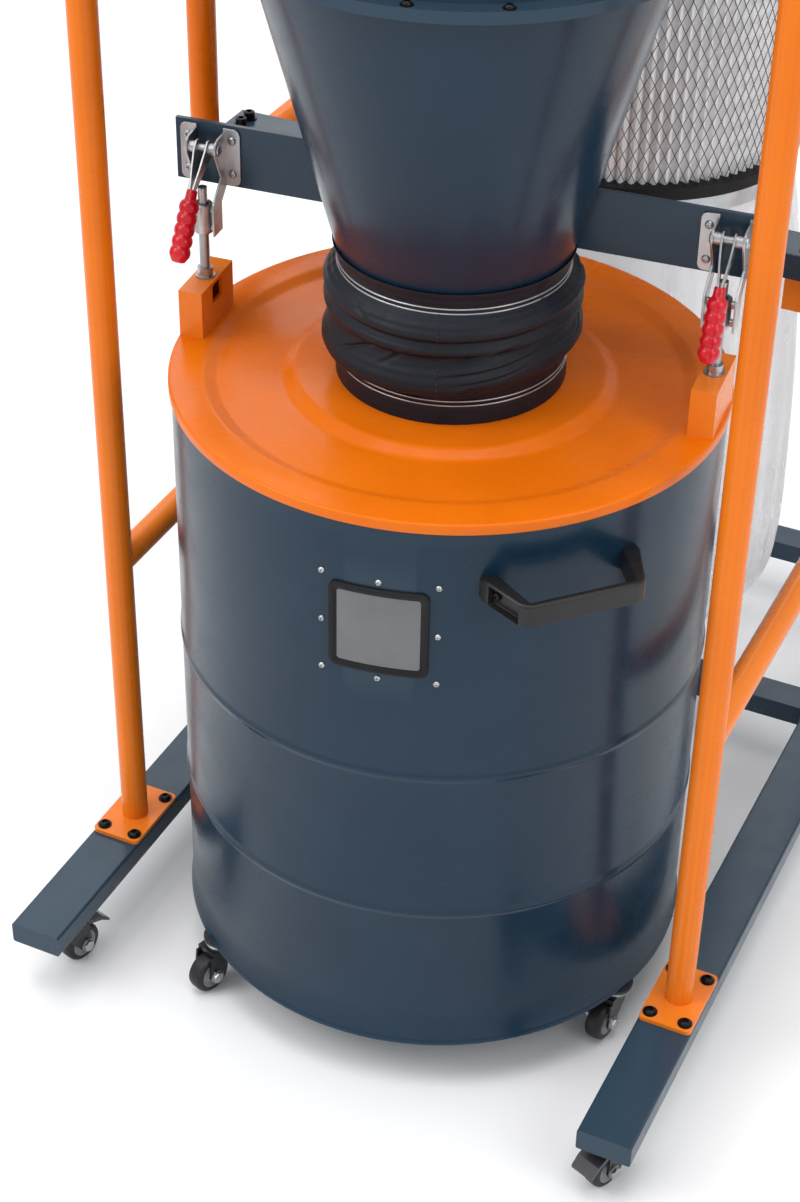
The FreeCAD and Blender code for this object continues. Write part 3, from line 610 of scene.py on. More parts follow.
# %% [markdown]
# ## The bin's handles
# Each handle is one plastic moulding: two feet that lie on the wall, slanting legs with a
# pocket for the screw, and a straight grip bar. A chamfered section is carried along a bent
# path, and the legs' outer faces are then inset and pushed in to make the pockets. A boolean
# could cut the pockets, but an inset keeps the faces tidy for the bevel.

# %% Bin handles
HANDLE_Z = 0.7095
HANDLE_TURNS = (46.9, 226.9)
LEG_OUT = 0.93, 0.37    # the direction that a leg's outer face looks, across and away from the wall


def handle_shape(corner=0.0022):
    path = [(-0.0757, -0.013), (-0.0755, -0.002), (-0.0745, 0.002), (-0.0626, 0.0430), (-0.0598, 0.0466),
            (-0.0555, 0.0485)]
    path += [(-x, y) for x, y in reversed(path)]
    depth = [0.0190, 0.0185, 0.0180, 0.0125, 0.0102, 0.0092]
    depth += depth[::-1]
    tall = [0.0250, 0.0275, 0.0285, 0.0275, 0.0265, 0.0260]
    tall += tall[::-1]
    bm = bmesh.new()
    rings = []
    for i, (x, y) in enumerate(path):
        before, after = path[max(i - 1, 0)], path[min(i + 1, len(path) - 1)]
        run = Vector((after[0] - before[0], after[1] - before[1], 0)).normalized()
        side = Vector((-run.y, run.x, 0))
        d, h, c = depth[i] / 2, tall[i] / 2, corner
        section = [(d, h - c), (d - c, h), (c - d, h), (-d, h - c),
                   (-d, c - h), (c - d, -h), (d - c, -h), (d, c - h)]
        rings.append([Vector((x, y, 0)) + side * across + Vector((0, 0, up)) for across, up in section])
    capped(bm, rings)
    bmesh.ops.recalc_face_normals(bm, faces=bm.faces)
    for leg in (-1, 1):
        out = Vector((leg * LEG_OUT[0], LEG_OUT[1], 0)).normalized()
        leg_faces = [f for f in bm.faces
                     if f.normal.dot(out) > 0.93 and leg * f.calc_center_median().x > 0.060]
        face = max(leg_faces, key=lambda f: f.calc_area())
        bmesh.ops.inset_individual(bm, faces=[face], thickness=0.0026)
        bmesh.ops.translate(bm, verts=face.verts, vec=-out * 0.0080)
    return bm


for number, degrees in enumerate(HANDLE_TURNS):
    angle = math.radians(degrees)
    stand = Matrix.Translation(BIN_AXIS + Vector((0, 0, HANDLE_Z))) @ Matrix.Rotation(angle, 4, "Z")
    stand = stand @ Matrix.Translation((0, -BIN_R + 0.0008, 0)) @ Matrix.Rotation(math.pi, 4, "Z")
    made = piece(f"bin_handle_{number + 1}", handle_shape(), PLASTIC, "bin",
                 ["bin_handles"], place=stand)
    bevel(made, 0.0009, 3)
    bm = bmesh.new()
    for leg in (-1, 1):
        at = stand @ Vector((leg * 0.0745, 0.0085, 0))
        outward = stand.to_3x3() @ Vector((leg * LEG_OUT[0], LEG_OUT[1], 0))
        screw_head(bm, at, outward, 0.0045, 0.003, "cross", dome=0.8)
    piece(f"handle_screws_{number + 1}", bm, OXIDE, "bin")
print("handles", len(HANDLE_TURNS))

# %% [markdown]
# ## The lid
# The lid is a pressed disc with a shallow annular channel that stiffens it, a short collar
# for the bellows and a turned-down rim. Rounding every corner of the outline gives the
# channel its soft highlights.

# %% Lid
LID_TOP, LID_SHEET = 0.785, 0.0025
LID_R, LID_SKIRT = 0.300, 0.012
NECK_R, NECK_HIGH, NECK_PRESS = 0.118, 0.030, 0.003
CHANNEL_DEEP = 0.006


def lid():
    """The outline goes along the top from the neck to the rim and back along the underside."""
    above = [(NECK_R, NECK_HIGH), (NECK_R, NECK_PRESS), (0.165, NECK_PRESS), (0.178, -CHANNEL_DEEP),
             (0.249, -CHANNEL_DEEP), (0.262, 0), (LID_R, 0), (LID_R, -LID_SKIRT)]
    below = [(NECK_R - LID_SHEET, NECK_HIGH), (NECK_R - LID_SHEET, NECK_PRESS - LID_SHEET),
             (0.164, NECK_PRESS - LID_SHEET), (0.177, -CHANNEL_DEEP - LID_SHEET),
             (0.250, -CHANNEL_DEEP - LID_SHEET), (0.263, -LID_SHEET), (LID_R - LID_SHEET, -LID_SHEET),
             (LID_R - LID_SHEET, -LID_SKIRT)]
    outline = [(r, LID_TOP + z) for r, z in above + below[::-1]]
    bm = bmesh.new()
    spin(bm, [tuple(p) for p in soft(outline, 0.0035)], 240, BIN_AXIS)
    piece("lid_disc", bm, ORANGE, "lid", ["lid"])


lid()
print("lid top at", LID_TOP)

# %% [markdown]
# ## The cyclone cone
# The cone is rolled from one sheet and welded up its back. Its outside is one smooth slope,
# so the outline has only a few points and the steps round it do the work. The weld is a
# separate low ridge.

# %% Cone and weld
WELD_ANGLE = math.radians(97)


def cone():
    outline = [(0.117, 0.8865), (0.117, 0.9175), (0.118, 0.9185), (0.1422, 1.006), (0.2092, 1.252),
               (0.2120, 1.262), (0.2120, 1.264), (0.2100, 1.264), (0.116, 0.9185), (0.115, 0.9175),
               (0.115, 0.8865)]
    bm = bmesh.new()
    spin(bm, outline, 240, BIN_AXIS)
    piece("cone_shell", bm, NAVY, "frame", ["cyclone_cone"])


def cone_weld(steps=90, arc=6):
    """A half-round ridge up the cone's back, a little uneven like a weld laid by hand."""
    out = Vector((math.cos(WELD_ANGLE), math.sin(WELD_ANGLE), 0))
    across = Vector((-out.y, out.x, 0))
    rings = []
    for k in range(steps):
        share = k / (steps - 1)
        z, r = 0.922 + share * 0.336, 0.1184 + share * 0.0928
        lift = 0.0009 + 0.0003 * math.sin(k * 2.1)
        level = Vector((0, 0, z))
        ring = [BIN_AXIS + out * (r - 0.0008 + lift * math.sin(math.pi * t / arc) + 0.0004)
                + across * (0.0028 * math.cos(math.pi * t / arc)) + level for t in range(arc + 1)]
        rings.append(ring + [BIN_AXIS + out * (r - 0.0012) + level])
    bm = bmesh.new()
    capped(bm, rings)
    piece("cone_weld", bm, NAVY, "frame")


cone()
cone_weld()
print("cone weld at", round(math.degrees(WELD_ANGLE)), "degrees")

# %% [markdown]
# ## The bellows
# The bellows is a cloth tube between the lid's collar and the cone. It is longer than the
# gap, so it sags into soft tiers with creases that run aslant between them. A cloth
# simulation would fold it anywhere it liked. Here `TIERS` gives the outline from bottom to
# top, `CREASES` places each fold, and a little noise keeps the cloth from looking drawn.

# %% Bellows cloth
CLOTH_LOW, CLOTH_HIGH, CLOTH_THICK = 0.7886, 0.9402, 0.0011
CLOTH_R = 0.134        # the usual radius, which turns an angle into a length along the cloth
CLOTH = finish("coated_black_cloth", (0.0042, 0.0065, 0.0115), (0.0068, 0.0100, 0.0170), (0.42, 0.56),
               2600.0, 0.0002, coarse=26.0, Specular_IOR_Level=0.27)
# Height in metres and radius in millimetres.
TIERS = [(0.7886, 122.4), (0.7960, 122.2), (0.8040, 121.6), (0.8105, 120.4), (0.8150, 120.4),
         (0.8205, 122.0), (0.8255, 126.0), (0.8290, 131.0), (0.8325, 135.2), (0.8375, 137.0),
         (0.8450, 136.4), (0.8530, 133.4), (0.8610, 129.6), (0.8670, 127.2), (0.8705, 127.4),
         (0.8735, 131.6), (0.8765, 134.8), (0.8800, 135.2), (0.8850, 132.6), (0.8885, 130.8),
         (0.8910, 132.6), (0.8940, 135.4), (0.8985, 135.6), (0.9050, 132.0), (0.9110, 126.4),
         (0.9150, 122.0), (0.9185, 120.3), (0.9220, 120.8), (0.9290, 122.9), (0.9402, 126.2)]
SEAM_ANGLE = math.radians(-72.3)
# Start and end of each fold as angle and height, then its depth and width in millimetres.
CREASES = [(-126, 0.845, -104, 0.868, 3.0, 3.2), (-100, 0.851, -86, 0.874, 2.6, 2.6),
           (-68, 0.850, -20, 0.864, 2.4, 2.8), (-66, 0.862, -38, 0.880, 2.0, 2.4),
           (-122, 0.915, -106, 0.897, 2.2, 2.6), (-60, 0.843, -34, 0.852, 1.8, 2.2),
           (-70, 0.826, -58, 0.838, 2.0, 2.4), (-12, 0.846, 18, 0.870, 2.4, 2.8),
           (34, 0.852, 62, 0.872, 2.6, 3.0), (80, 0.866, 112, 0.846, 2.6, 3.0),
           (130, 0.850, 158, 0.872, 2.8, 3.0), (176, 0.868, 200, 0.848, 2.4, 2.8),
           (20, 0.914, 40, 0.898, 2.0, 2.6), (140, 0.898, 160, 0.914, 2.0, 2.6)]


def clamp01(value):
    return min(1.0, max(0.0, value))


def hump(value, width):
    """A bell-shaped bump of height 1 round zero."""
    return math.exp(-(value / width) ** 2)


def tier_radius(z):
    """The tube's radius at a height, read from TIERS with a smooth step between its rows."""
    for (z0, r0), (z1, r1) in zip(TIERS, TIERS[1:]):
        if z <= z1:
            t = clamp01((z - z0) / (z1 - z0))
            t = t * t * (3 - 2 * t) * 0.6 + t * 0.4
            return (r0 * (1 - t) + r1 * t) / 1000
    return TIERS[-1][1] / 1000


def turn_between(a, b):
    return (a - b + math.pi) % (2 * math.pi) - math.pi


def slack(a, height):
    """Folds that run aslant round the tube: a narrow valley with a soft ridge beside it."""
    total = 0.0
    for a0, z0, a1, z1, deep, wide in CREASES:
        start, run = math.radians(a0), math.radians(a1 - a0) * CLOTH_R
        x, z = turn_between(a, start) * CLOTH_R, height - z0
        length = math.hypot(run, z1 - z0)
        share = (x * run + z * (z1 - z0)) / length ** 2
        if -0.15 < share < 1.15:
            aside = (z * run - x * (z1 - z0)) / length * 1000
            fade = math.sin(math.pi * clamp01((share + 0.15) / 1.3)) ** 0.8
            ridge, valley = 0.55 * hump(aside - wide, wide), math.exp(-(aside / wide * 1.4) ** 2)
            total += fade * deep * (ridge - valley)
    return total / 1000


def cloth_radius(a, height):
    """The outline, tilted a little round the tube, with its folds, puckered ties and seam."""
    around = Vector((math.cos(a), math.sin(a), 0))
    inside = clamp01((height - 0.8165) / 0.010) * clamp01((0.9110 - height) / 0.010)
    droop = 0.0080 * math.cos(a - math.radians(23.5)) * clamp01((0.878 - height) / 0.020)
    droop += 0.0022 * math.cos(a - math.radians(20)) + 0.0012 * math.sin(2 * a + 0.6)
    r = tier_radius(height - droop * inside)
    unrest = noise.noise(Vector((around.x * 2.6, around.y * 2.6, height * 30)))
    r += inside * (slack(a, height) + 0.0012 * unrest)
    pucker = hump(height - 0.8180, 0.006) + hump(height - 0.9120, 0.006)
    pucker += 0.35 * hump(height - 0.8010, 0.008) + 0.3 * hump(height - 0.9300, 0.006)
    r += pucker * 0.0011 * noise.noise(Vector((around.x * 11, around.y * 11, height * 25 + 7)))
    gap = turn_between(a, SEAM_ANGLE)
    return r + 0.0008 * hump(gap, 0.022) - 0.0007 * hump(gap, 0.006)


def bellows():
    rows, columns = 132, 320
    heights = [CLOTH_LOW + (CLOTH_HIGH - CLOTH_LOW) * i / rows for i in range(rows + 1)]
    rings = [[BIN_AXIS + polar(cloth_radius(a, z), a, z) for a in turns(columns)] for z in heights]
    inner = [[p - (p - BIN_AXIS - Vector((0, 0, p.z))).normalized() * CLOTH_THICK for p in ring]
             for ring in reversed(rings)]
    bm = bmesh.new()
    skin(bm, rings + inner, stacked=True)
    made = piece("bellows_cloth", bm, CLOTH, None, ["bellows"], crease=80)
    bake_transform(made)
    return made


BELLOWS = bellows()
print("bellows points", len(BELLOWS.data.vertices))

# %% [markdown]
# Each hem is tied down by two turns of bright wire. The stitches of the upright seam are separate short
# threads, because a bump map can't cast their small shadows. They sit on the cloth's own outline.

# %% Hem wires and stitches
def wire_ring(name, height, radius, body):
    bm = bmesh.new()
    for offset in (-0.0026, 0.0026):
        section = [(radius + 0.0010 * math.cos(a), height + offset + 0.0010 * math.sin(a))
                   for a in turns(10)]
        spin(bm, section, 160, BIN_AXIS)
    piece(name, bm, ZINC, body)


def seam_stitches(count=13, pitch=0.0068, length=0.0044, thread=0.0008):
    """Each stitch is a short arched tube, thin at both ends."""
    bm = bmesh.new()
    out = Vector((math.cos(SEAM_ANGLE), math.sin(SEAM_ANGLE), 0))
    across = Vector((-out.y, out.x, 0))
    for k in range(count):
        rings = []
        for j in range(6):
            share = j / 5
            z = 0.8205 + k * pitch + length * share
            r = cloth_radius(SEAM_ANGLE, z) + 0.0009 * math.sin(math.pi * share) + 0.0001
            thick = thread * (0.35 + 0.65 * math.sin(math.pi * (0.1 + 0.8 * share)))
            middle = BIN_AXIS + Vector((0, 0, z))
            rings.append([middle + out * (r + thick * math.cos(t)) + across * (thick * math.sin(t))
                          for t in turns(8)])
        capped(bm, rings)
    made = piece("seam_stitches", bm, THREAD, None, crease=80)
    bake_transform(made)
    return made


THREAD = finish("black_thread", (0.002, 0.002, 0.003), (0.005, 0.005, 0.006), (0.35, 0.5), 2400.0,
                0.0002, coarse=300.0)
wire_ring("upper_hem_wire", 0.9185, 0.1211, "frame")
wire_ring("lower_hem_wire", 0.8126, 0.1212, "lid")
STITCHES = seam_stitches()
print("stitch points", len(STITCHES.data.vertices))
cloth_area = sum(face.area for face in BELLOWS.data.polygons) / 2
print("cloth area", round(cloth_area, 4))

# %% [markdown]
# ## Toggle clamps
# Each clamp is bent zinc-plated sheet. Two angle plates are screwed to the clamp plate and a
# pin joins their ears. A round guide between them holds the spindle. Flat outlines, extruded
# by the thickness of the sheet, give the plates their round corners.

# %% Clamp plates and screws
CLAMP_X = 0.282
CLAMP_FACE = 0.026      # how far the clamp plate's face stands in front of the spindle
CLAMP_SHEET = 0.0025
PIN = (0.006, 0.986)
LEAN = {"left": 42.0, "right": 29.0}
SIDE = {"left": -1, "right": 1}
ALONG, UPWARD, FORWARD = (CYCLONE_SPIN @ Vector(v) for v in ((1, 0, 0), (0, 0, 1), (0, -1, 0)))


def outline_plate(bm, outline, origin, first, second, thick):
    """Extrude a flat outline given in two directions from an origin."""
    across = first.cross(second).normalized() * thick
    capped(bm, [[origin + first * u + second * v + shift for u, v in outline]
                for shift in (Vector((0, 0, 0)), across)])


def angle_plates(name, near=0.015, far=0.034):
    """Each plate has a flange on the clamp plate, from near to far, and an ear that stands out."""
    base = on_cyclone(SIDE[name] * CLAMP_X, CLAMP_FACE, 0)
    flange = [(near, 0.939), (far - 0.006, 0.939), (far - 0.0018, 0.9408), (far, 0.945), (far, 0.997),
              (far - 0.0018, 1.0012), (far - 0.006, 1.003), (near, 1.003)]
    ear = [(-0.0001, 0.999), (0.020, 0.998), (0.026, 0.9955), (0.0290, 0.990), (0.0285, 0.981),
           (0.025, 0.975), (0.0140, 0.952), (0.0370, 0.929), (0.0370, 0.893), (0.0150, 0.893),
           (0.0150, 0.925), (-0.0001, 0.939)]
    bm = bmesh.new()
    for s in (-1, 1):
        outline_plate(bm, flange if s > 0 else flange[::-1], base, ALONG * s, UPWARD, s * CLAMP_SHEET)
        aside = s * (near + (CLAMP_SHEET if s > 0 else 0))
        outline_plate(bm, ear, base + ALONG * aside, FORWARD, UPWARD, CLAMP_SHEET)
    made = piece(f"clamp_angle_plates_{name}", bm, ZINC, "frame", ["clamp_bases"])
    bevel(made, 0.0004, 2)


def spindle_guide(name):
    """A round barrel for the spindle, held by rivets whose heads lie outside its bore."""
    x = SIDE[name] * CLAMP_X
    barrel = [(0.0062, 0.8925), (0.0098, 0.8925), (0.0106, 0.8934), (0.0106, 0.9246),
              (0.0098, 0.9255), (0.0062, 0.9255)]
    rivet = [(0.0, 0.0102), (0.0040, 0.0102), (0.0040, 0.0165), (0.0030, 0.0176), (0.0, 0.0176)]
    bm = bmesh.new()
    spin(bm, barrel, 40, on_cyclone(x, 0, 0))
    for level in (0.8990, 0.9190):
        for s in (-1, 1):
            spin_at(bm, rivet, 20, aimed(on_cyclone(x, 0, level), ALONG * s), closed=False)
    bmesh.ops.remove_doubles(bm, verts=bm.verts, dist=1e-6)
    piece(f"clamp_guide_{name}", bm, ZINC, "frame")


def pin_and_screws(name):
    x = SIDE[name] * CLAMP_X
    middle = on_cyclone(x, *PIN)
    spacer = [(0.0062, 0.0072), (0.0062, 0.0150), (0.0035, 0.0150), (0.0035, 0.0072)]
    sleeve = [(0.0034, -0.016), (0.0040, -0.016), (0.0040, 0.016), (0.0034, 0.016)]
    bm = bmesh.new()
    for s in (-1, 1):
        screw_head(bm, middle + ALONG * (s * 0.0175), ALONG * s, 0.0062, 0.0026, "hex", dome=0.6)
        spin_at(bm, spacer, 24, aimed(middle, ALONG * s))
        for height in (0.952, 0.990):
            at = on_cyclone(x, CLAMP_FACE, 0) + ALONG * (s * 0.0252)
            at += UPWARD * height + FORWARD * CLAMP_SHEET
            screw_head(bm, at, FORWARD, 0.0046, 0.0026, "cross", dome=0.9)
    spin_at(bm, sleeve, 24, aimed(middle, ALONG))
    piece(f"clamp_pin_and_screws_{name}", bm, ZINC, "frame")


for name in LEAN:
    angle_plates(name)
    spindle_guide(name)
    pin_and_screws(name)
print("clamps", list(LEAN))

# %% [markdown]
# A lever is two thin cheeks that hang from the pin, bend at an elbow and run into the grip.
# The grips are dipped vinyl with finger ridges, made from a wavy outline turned round the
# lever's own axis. Both ride on the lever's body so that they swing with it.

# %% Grips and levers
ELBOW = 0.046
BEND = 8.0


def lever_line(name):
    """The pin, the elbow, and the directions of the lever above and below the elbow."""
    lean, steep = math.radians(LEAN[name]), math.radians(LEAN[name] - BEND)
    pin = on_cyclone(SIDE[name] * CLAMP_X, *PIN)
    down, lower = (CYCLONE_SPIN @ Vector((0, -math.sin(a), -math.cos(a))) for a in (lean, steep))
    return pin, pin + down * ELBOW, down, lower


def grip(name, ridges=5, length=0.0600):
    elbow, lower = lever_line(name)[1::2]
    outline = [(0.0, 0.0005), (0.0050, 0.0005), (0.0058, 0.0015), (0.0060, 0.0080), (0.0066, 0.0110)]
    for k in range(ridges * 10 + 1):
        share = k / (ridges * 10)
        wave = abs(math.sin(math.pi * share * ridges)) ** 0.7
        outline.append((0.0086 + 0.0020 * wave + 0.0008 * share, 0.0125 + share * length))
    outline += [(0.0086, 0.0740), (0.0070, 0.0766), (0.0040, 0.0776), (0.0, 0.0778)]
    bm = bmesh.new()
    spin(bm, outline, 40, closed=False)
    bmesh.ops.remove_doubles(bm, verts=bm.verts, dist=1e-6)
    piece(f"ridged_grip_{name}", bm, VINYL, f"lever_{name}", [f"grip_{name}"], crease=80,
          place=aimed(elbow, lower))


def lever(name, sheet=0.0022):
    """Each stop gives a cheek's middle line, its direction, half its width and its place aside."""
    pin, elbow, down, lower = lever_line(name)
    stops = [(pin - down * 0.0075, down, 0.0052, 0.0062), (pin - down * 0.0045, down, 0.0088, 0.0062),
             (pin + down * 0.0060, down, 0.0088, 0.0062), (pin + down * 0.0240, down, 0.0066, 0.0046),
             (elbow, (down + lower).normalized(), 0.0040, 0.0018),
             (elbow + lower * 0.0300, lower, 0.0034, 0.0016)]
    bm = bmesh.new()
    for s in (-1, 1):
        rings = []
        for middle, run, half, aside in stops:
            fore = ALONG.cross(run).normalized()
            outline = [(-sheet / 2, -half), (sheet / 2, -half), (sheet / 2, half), (-sheet / 2, half)]
            rings.append([middle + ALONG * (s * aside + u) + fore * v for u, v in outline])
        capped(bm, rings)
    made = piece(f"lever_cheeks_{name}", bm, ZINC, f"lever_{name}", [f"lever_{name}"])
    bevel(made, 0.0004, 2)


for name in LEAN:
    grip(name)
    lever(name)
    print(name, "elbow at", tuple(round(v, 4) for v in lever_line(name)[1]))

# %% [markdown]
# The spindles are threaded rods. The thread is a row of fine grooves in the turned outline,
# close enough for the eye and far lighter than a true helix.

# %% Spindle threads
THREAD_PITCH = 0.0013


def spindle_thread(name):
    foot = on_cyclone(SIDE[name] * CLAMP_X, 0, 0)
    outline = [(0.0049, 0.8505)]
    z = 0.8515
    while z < 0.8915:
        outline += [(0.00515, z), (0.00555, z + 0.0005), (0.00515, z + 0.0010)]
        z += THREAD_PITCH
    outline += [(0.0049, z + 0.0006)]
    bm = bmesh.new()
    close_ends(bm, spin(bm, outline, 28, foot, closed=False))
    piece(f"spindle_thread_{name}", bm, ZINC, "lid", crease=80)


for name in LEAN:
    spindle_thread(name)
print("thread pitch", THREAD_PITCH)

# %% [markdown]
# ## Cross tube bolts and flange bolts
# Two black socket heads hold each end of the cross tube, with washers. The flange between
# cone and barrel has a ring of small button heads. A loop places them, because each ring has
# only a few and an array modifier would save nothing.

# %% Bolts
def cross_tube_bolts():
    low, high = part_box("cross_tube")
    middle = (low.y + high.y) / 2
    bm = bmesh.new()
    for side in (-1, 1):
        for dy in (-0.009, 0.010):
            at = Vector((side * 0.330, middle + dy - 0.002, high.z))
            washer(bm, at, (0, 0, 1), 0.0085, 0.0014)
            screw_head(bm, at + Vector((0, 0, 0.0012)), (0, 0, 1), 0.0064, 0.0080, "hex", dome=0.12)
    piece("cross_tube_bolts", bm, OXIDE, "frame")


def flange_bolts(count=16, circle=0.2285):
    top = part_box("joint_flange")[1].z
    bm = bmesh.new()
    for k in range(count):
        a = math.radians(360 * (k + 0.5) / count)
        at = BIN_AXIS + polar(circle, a, top)
        washer(bm, at, (0, 0, 1), 0.0062, 0.0009)
        screw_head(bm, at + Vector((0, 0, 0.0008)), (0, 0, 1), 0.0048, 0.0032, "hex", dome=0.9)
    piece("flange_bolts", bm, OXIDE, "frame")


cross_tube_bolts()
flange_bolts()
print("bolts placed")

# %% [markdown]
# ## Casters
# A caster wheel has a rubber tyre with rounded shoulders, a grey hub and a bright axle nut on
# each side. Above the fork, a bright race covers the swivel's balls. Each axle's direction is
# read from the frame's joints, so one outline serves all wheels: it is turned along its own
# axis and then aimed.

# %% Caster wheels
JOINTS = {j["name"]: j for j in frame["joints"]}
AXLES = {name: j for name, j in JOINTS.items() if name.endswith("_wheel_spin")}


def mirrored(side):
    """An outline of (radius, width) points and the same one on the other side of the wheel."""
    return side + [(r, -w) for r, w in reversed(side)]


TYRE_OUTLINE = mirrored([(0.0160, 0.0085), (0.0165, 0.0098), (0.0200, 0.0100), (0.0222, 0.0098),
                         (0.0238, 0.0086), (0.0247, 0.0062), (0.02495, 0.0030), (0.02500, 0.0009)])
HUB_OUTLINE = mirrored([(0.0041, 0.0106), (0.0085, 0.0106), (0.0090, 0.0100), (0.0092, 0.0074),
                        (0.0120, 0.0070), (0.0148, 0.0080), (0.0162, 0.0100), (0.0172, 0.0101),
                        (0.0172, 0.0092), (0.0160, 0.0070)])
RACE_OUTLINE = [(0.0150, -0.0052), (0.0206, -0.0052), (0.0216, -0.0040), (0.0216, -0.0022),
                (0.0206, -0.0012), (0.0150, -0.0012)]
AXLE_END = 0.01405      # from the wheel's middle to the outside of its fork

for caster, joint in AXLES.items():
    wheel = caster.removesuffix("_spin")
    swivel, fork = (wheel.replace("_wheel", end) for end in ("_swivel", "_fork"))
    low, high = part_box(wheel)
    middle, axis = (low + high) / 2, Vector(joint["axis"])
    place = aimed(middle, axis)
    bm = bmesh.new()
    spin(bm, TYRE_OUTLINE, 72)
    piece(f"{wheel}_tyre", bm, TYRE, wheel, [wheel], place=place)
    bm = bmesh.new()
    spin(bm, HUB_OUTLINE, 48)
    piece(f"{wheel}_hub", bm, HUB, wheel, place=place)
    bm = bmesh.new()
    for s in (-1, 1):
        washer(bm, middle + axis * (s * AXLE_END), axis * s, 0.0082, 0.0010)
        hex_nut(bm, middle + axis * (s * (AXLE_END + 0.00075)), axis * s, 0.0132, 0.0046)
    piece(f"{wheel}_nuts", bm, ZINC, swivel)
    kingpin = JOINTS[f"{swivel}_turn"]["pos_m"]
    bm = bmesh.new()
    spin(bm, RACE_OUTLINE, 48, Vector((kingpin[0], kingpin[1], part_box(fork)[1].z)))
    piece(f"{swivel}_race", bm, ZINC, swivel)
print("casters", len(AXLES))

# %% [markdown]
# ## Rims, clips and bolts of the drums
# A drum made of sheet has rolled rims, since a cut edge would be sharp and would bend. The
# fan housing is bolted down through its rim, and four spring clips hold the filter's cap.
# Each detail is one small form set round an axis that is read from the CAD boxes.

# %% Rims and blocks
def block(bm, place, size, corner=0.002):
    """A flat form with soft corners, centred on place, which is a matrix."""
    x, y, z = (v / 2 for v in size)
    flat = soft([(-x, -y, 0), (x, -y, 0), (x, y, 0), (-x, y, 0)], corner, 3)
    capped(bm, [[place @ Vector((p[0], p[1], level)) for p in flat] for level in (-z, z)])


def rim(bm, radius, height, centre, proud=0.0045, tall=0.010):
    """A rolled edge round a drum: a soft band that stands a little proud of the wall."""
    band = [(radius - 0.002, height - tall), (radius + proud, height - tall),
            (radius + proud, height - 0.0005), (radius - 0.002, height - 0.0005)]
    spin(bm, [tuple(p) for p in soft(band, 0.0022, 3)], 160, centre)


def turned_to(centre, degrees):
    """A matrix at centre whose X axis looks out at an angle."""
    return Matrix.Translation(centre) @ Matrix.Rotation(math.radians(degrees), 4, "Z")


def drum(node):
    """The axis, radius, foot and top of a round node."""
    low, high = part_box(node)
    axis = Vector(((low.x + high.x) / 2, (low.y + high.y) / 2, 0))
    return axis, (high.x - low.x) / 2, low.z, high.z


LAID_FLAT = Matrix.Rotation(math.pi / 2, 4, "Y")    # turns a block to lie against a wall
print("fan housing radius", round(drum("fan_housing")[1], 4))

# %% [markdown]
# The inlet's spigot gets a small bead near its end, which keeps a hose clip from slipping
# off. It is turned about its own axis first and then laid over.

# %% Drum details
def drum_details():
    bm, bolts, clips = bmesh.new(), bmesh.new(), bmesh.new()
    axis, radius, foot, top = drum("fan_housing")
    rim(bm, radius, top, axis)
    rim(bm, radius, foot + 0.010, axis)
    for k in range(12):
        at = axis + polar(radius - 0.016, math.radians(30 * k + 15), top)
        washer(bolts, at, (0, 0, 1), 0.0085, 0.0012)
        screw_head(bolts, at + Vector((0, 0, 0.001)), (0, 0, 1), 0.0066, 0.0042, "hex", dome=0.9)
    axis, radius, foot, top = drum("filter_cap")
    rim(bm, radius, top, FILTER_AXIS)
    rim(bm, radius, foot + 0.012, FILTER_AXIS, tall=0.012)
    for k in range(4):
        at = FILTER_AXIS + polar(radius, math.radians(90 * k + 45), foot + 0.030)
        out = turned_to(at, 90 * k + 45) @ LAID_FLAT
        block(clips, out @ Matrix.Translation((0.004, 0, 0.0018)), (0.030, 0.022, 0.0030), 0.003)
        block(clips, out @ Matrix.Translation((0.022, 0, 0.0042)), (0.030, 0.012, 0.0024), 0.003)
    low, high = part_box("inlet_spigot")
    radius = (high.x - low.x) / 2
    ring = [(radius - 0.001, 0.0), (radius + 0.0026, 0.0012), (radius + 0.0026, 0.0050),
            (radius - 0.001, 0.0062)]
    at = Vector(((low.x + high.x) / 2, low.y + 0.010, (low.z + high.z) / 2))
    spin_at(bm, ring, 96, aimed(at, (0, 1, 0)))
    piece("drum_rims", bm, NAVY, "frame")
    low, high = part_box("filter_arms")
    for side in (-1, 1):
        for dy in (-0.006, 0.006):
            at = Vector((side * (POST_X - 0.034), (low.y + high.y) / 2 + dy, high.z))
            screw_head(bolts, at, (0, 0, 1), 0.0050, 0.0032, "hex", dome=0.9)
    piece("drum_bolts", bolts, OXIDE, "frame")
    bevel(piece("cap_clips", clips, ZINC, "frame"), 0.0005, 2)


drum_details()
print("rims, bolts and clips placed")

# %% [markdown]
# ## The fan's motor
# A fan motor sheds its heat through upright fins, and its cowl lets air in through a grille.
# Both are rows of one small form turned round the motor's axis. A junction box with a
# screwed lid sits on its side.

# %% Motor details
FIN_COUNT, SPOKE_COUNT, FOOT_SCREWS = 36, 6, 8


def motor_fins(axis, radius, bottom, top):
    bm = bmesh.new()
    middle = axis + Vector((0, 0, (bottom + top) / 2))
    for k in range(FIN_COUNT):
        place = turned_to(middle, 360 / FIN_COUNT * k) @ Matrix.Translation((radius + 0.0035, 0, 0))
        block(bm, place, (0.011, 0.0028, top - bottom), 0.001)
    piece("motor_fins", bm, CASTING, "frame")


def motor_foot_screws(axis, radius, height):
    bm = bmesh.new()
    for k in range(FOOT_SCREWS):
        at = axis + polar(radius + 0.013, math.radians(45 * k + 22.5), height)
        washer(bm, at, (0, 0, 1), 0.0080, 0.0012)
        screw_head(bm, at + Vector((0, 0, 0.001)), (0, 0, 1), 0.0062, 0.0050, "hex", dome=0.2)
    piece("motor_foot_screws", bm, OXIDE, "frame")


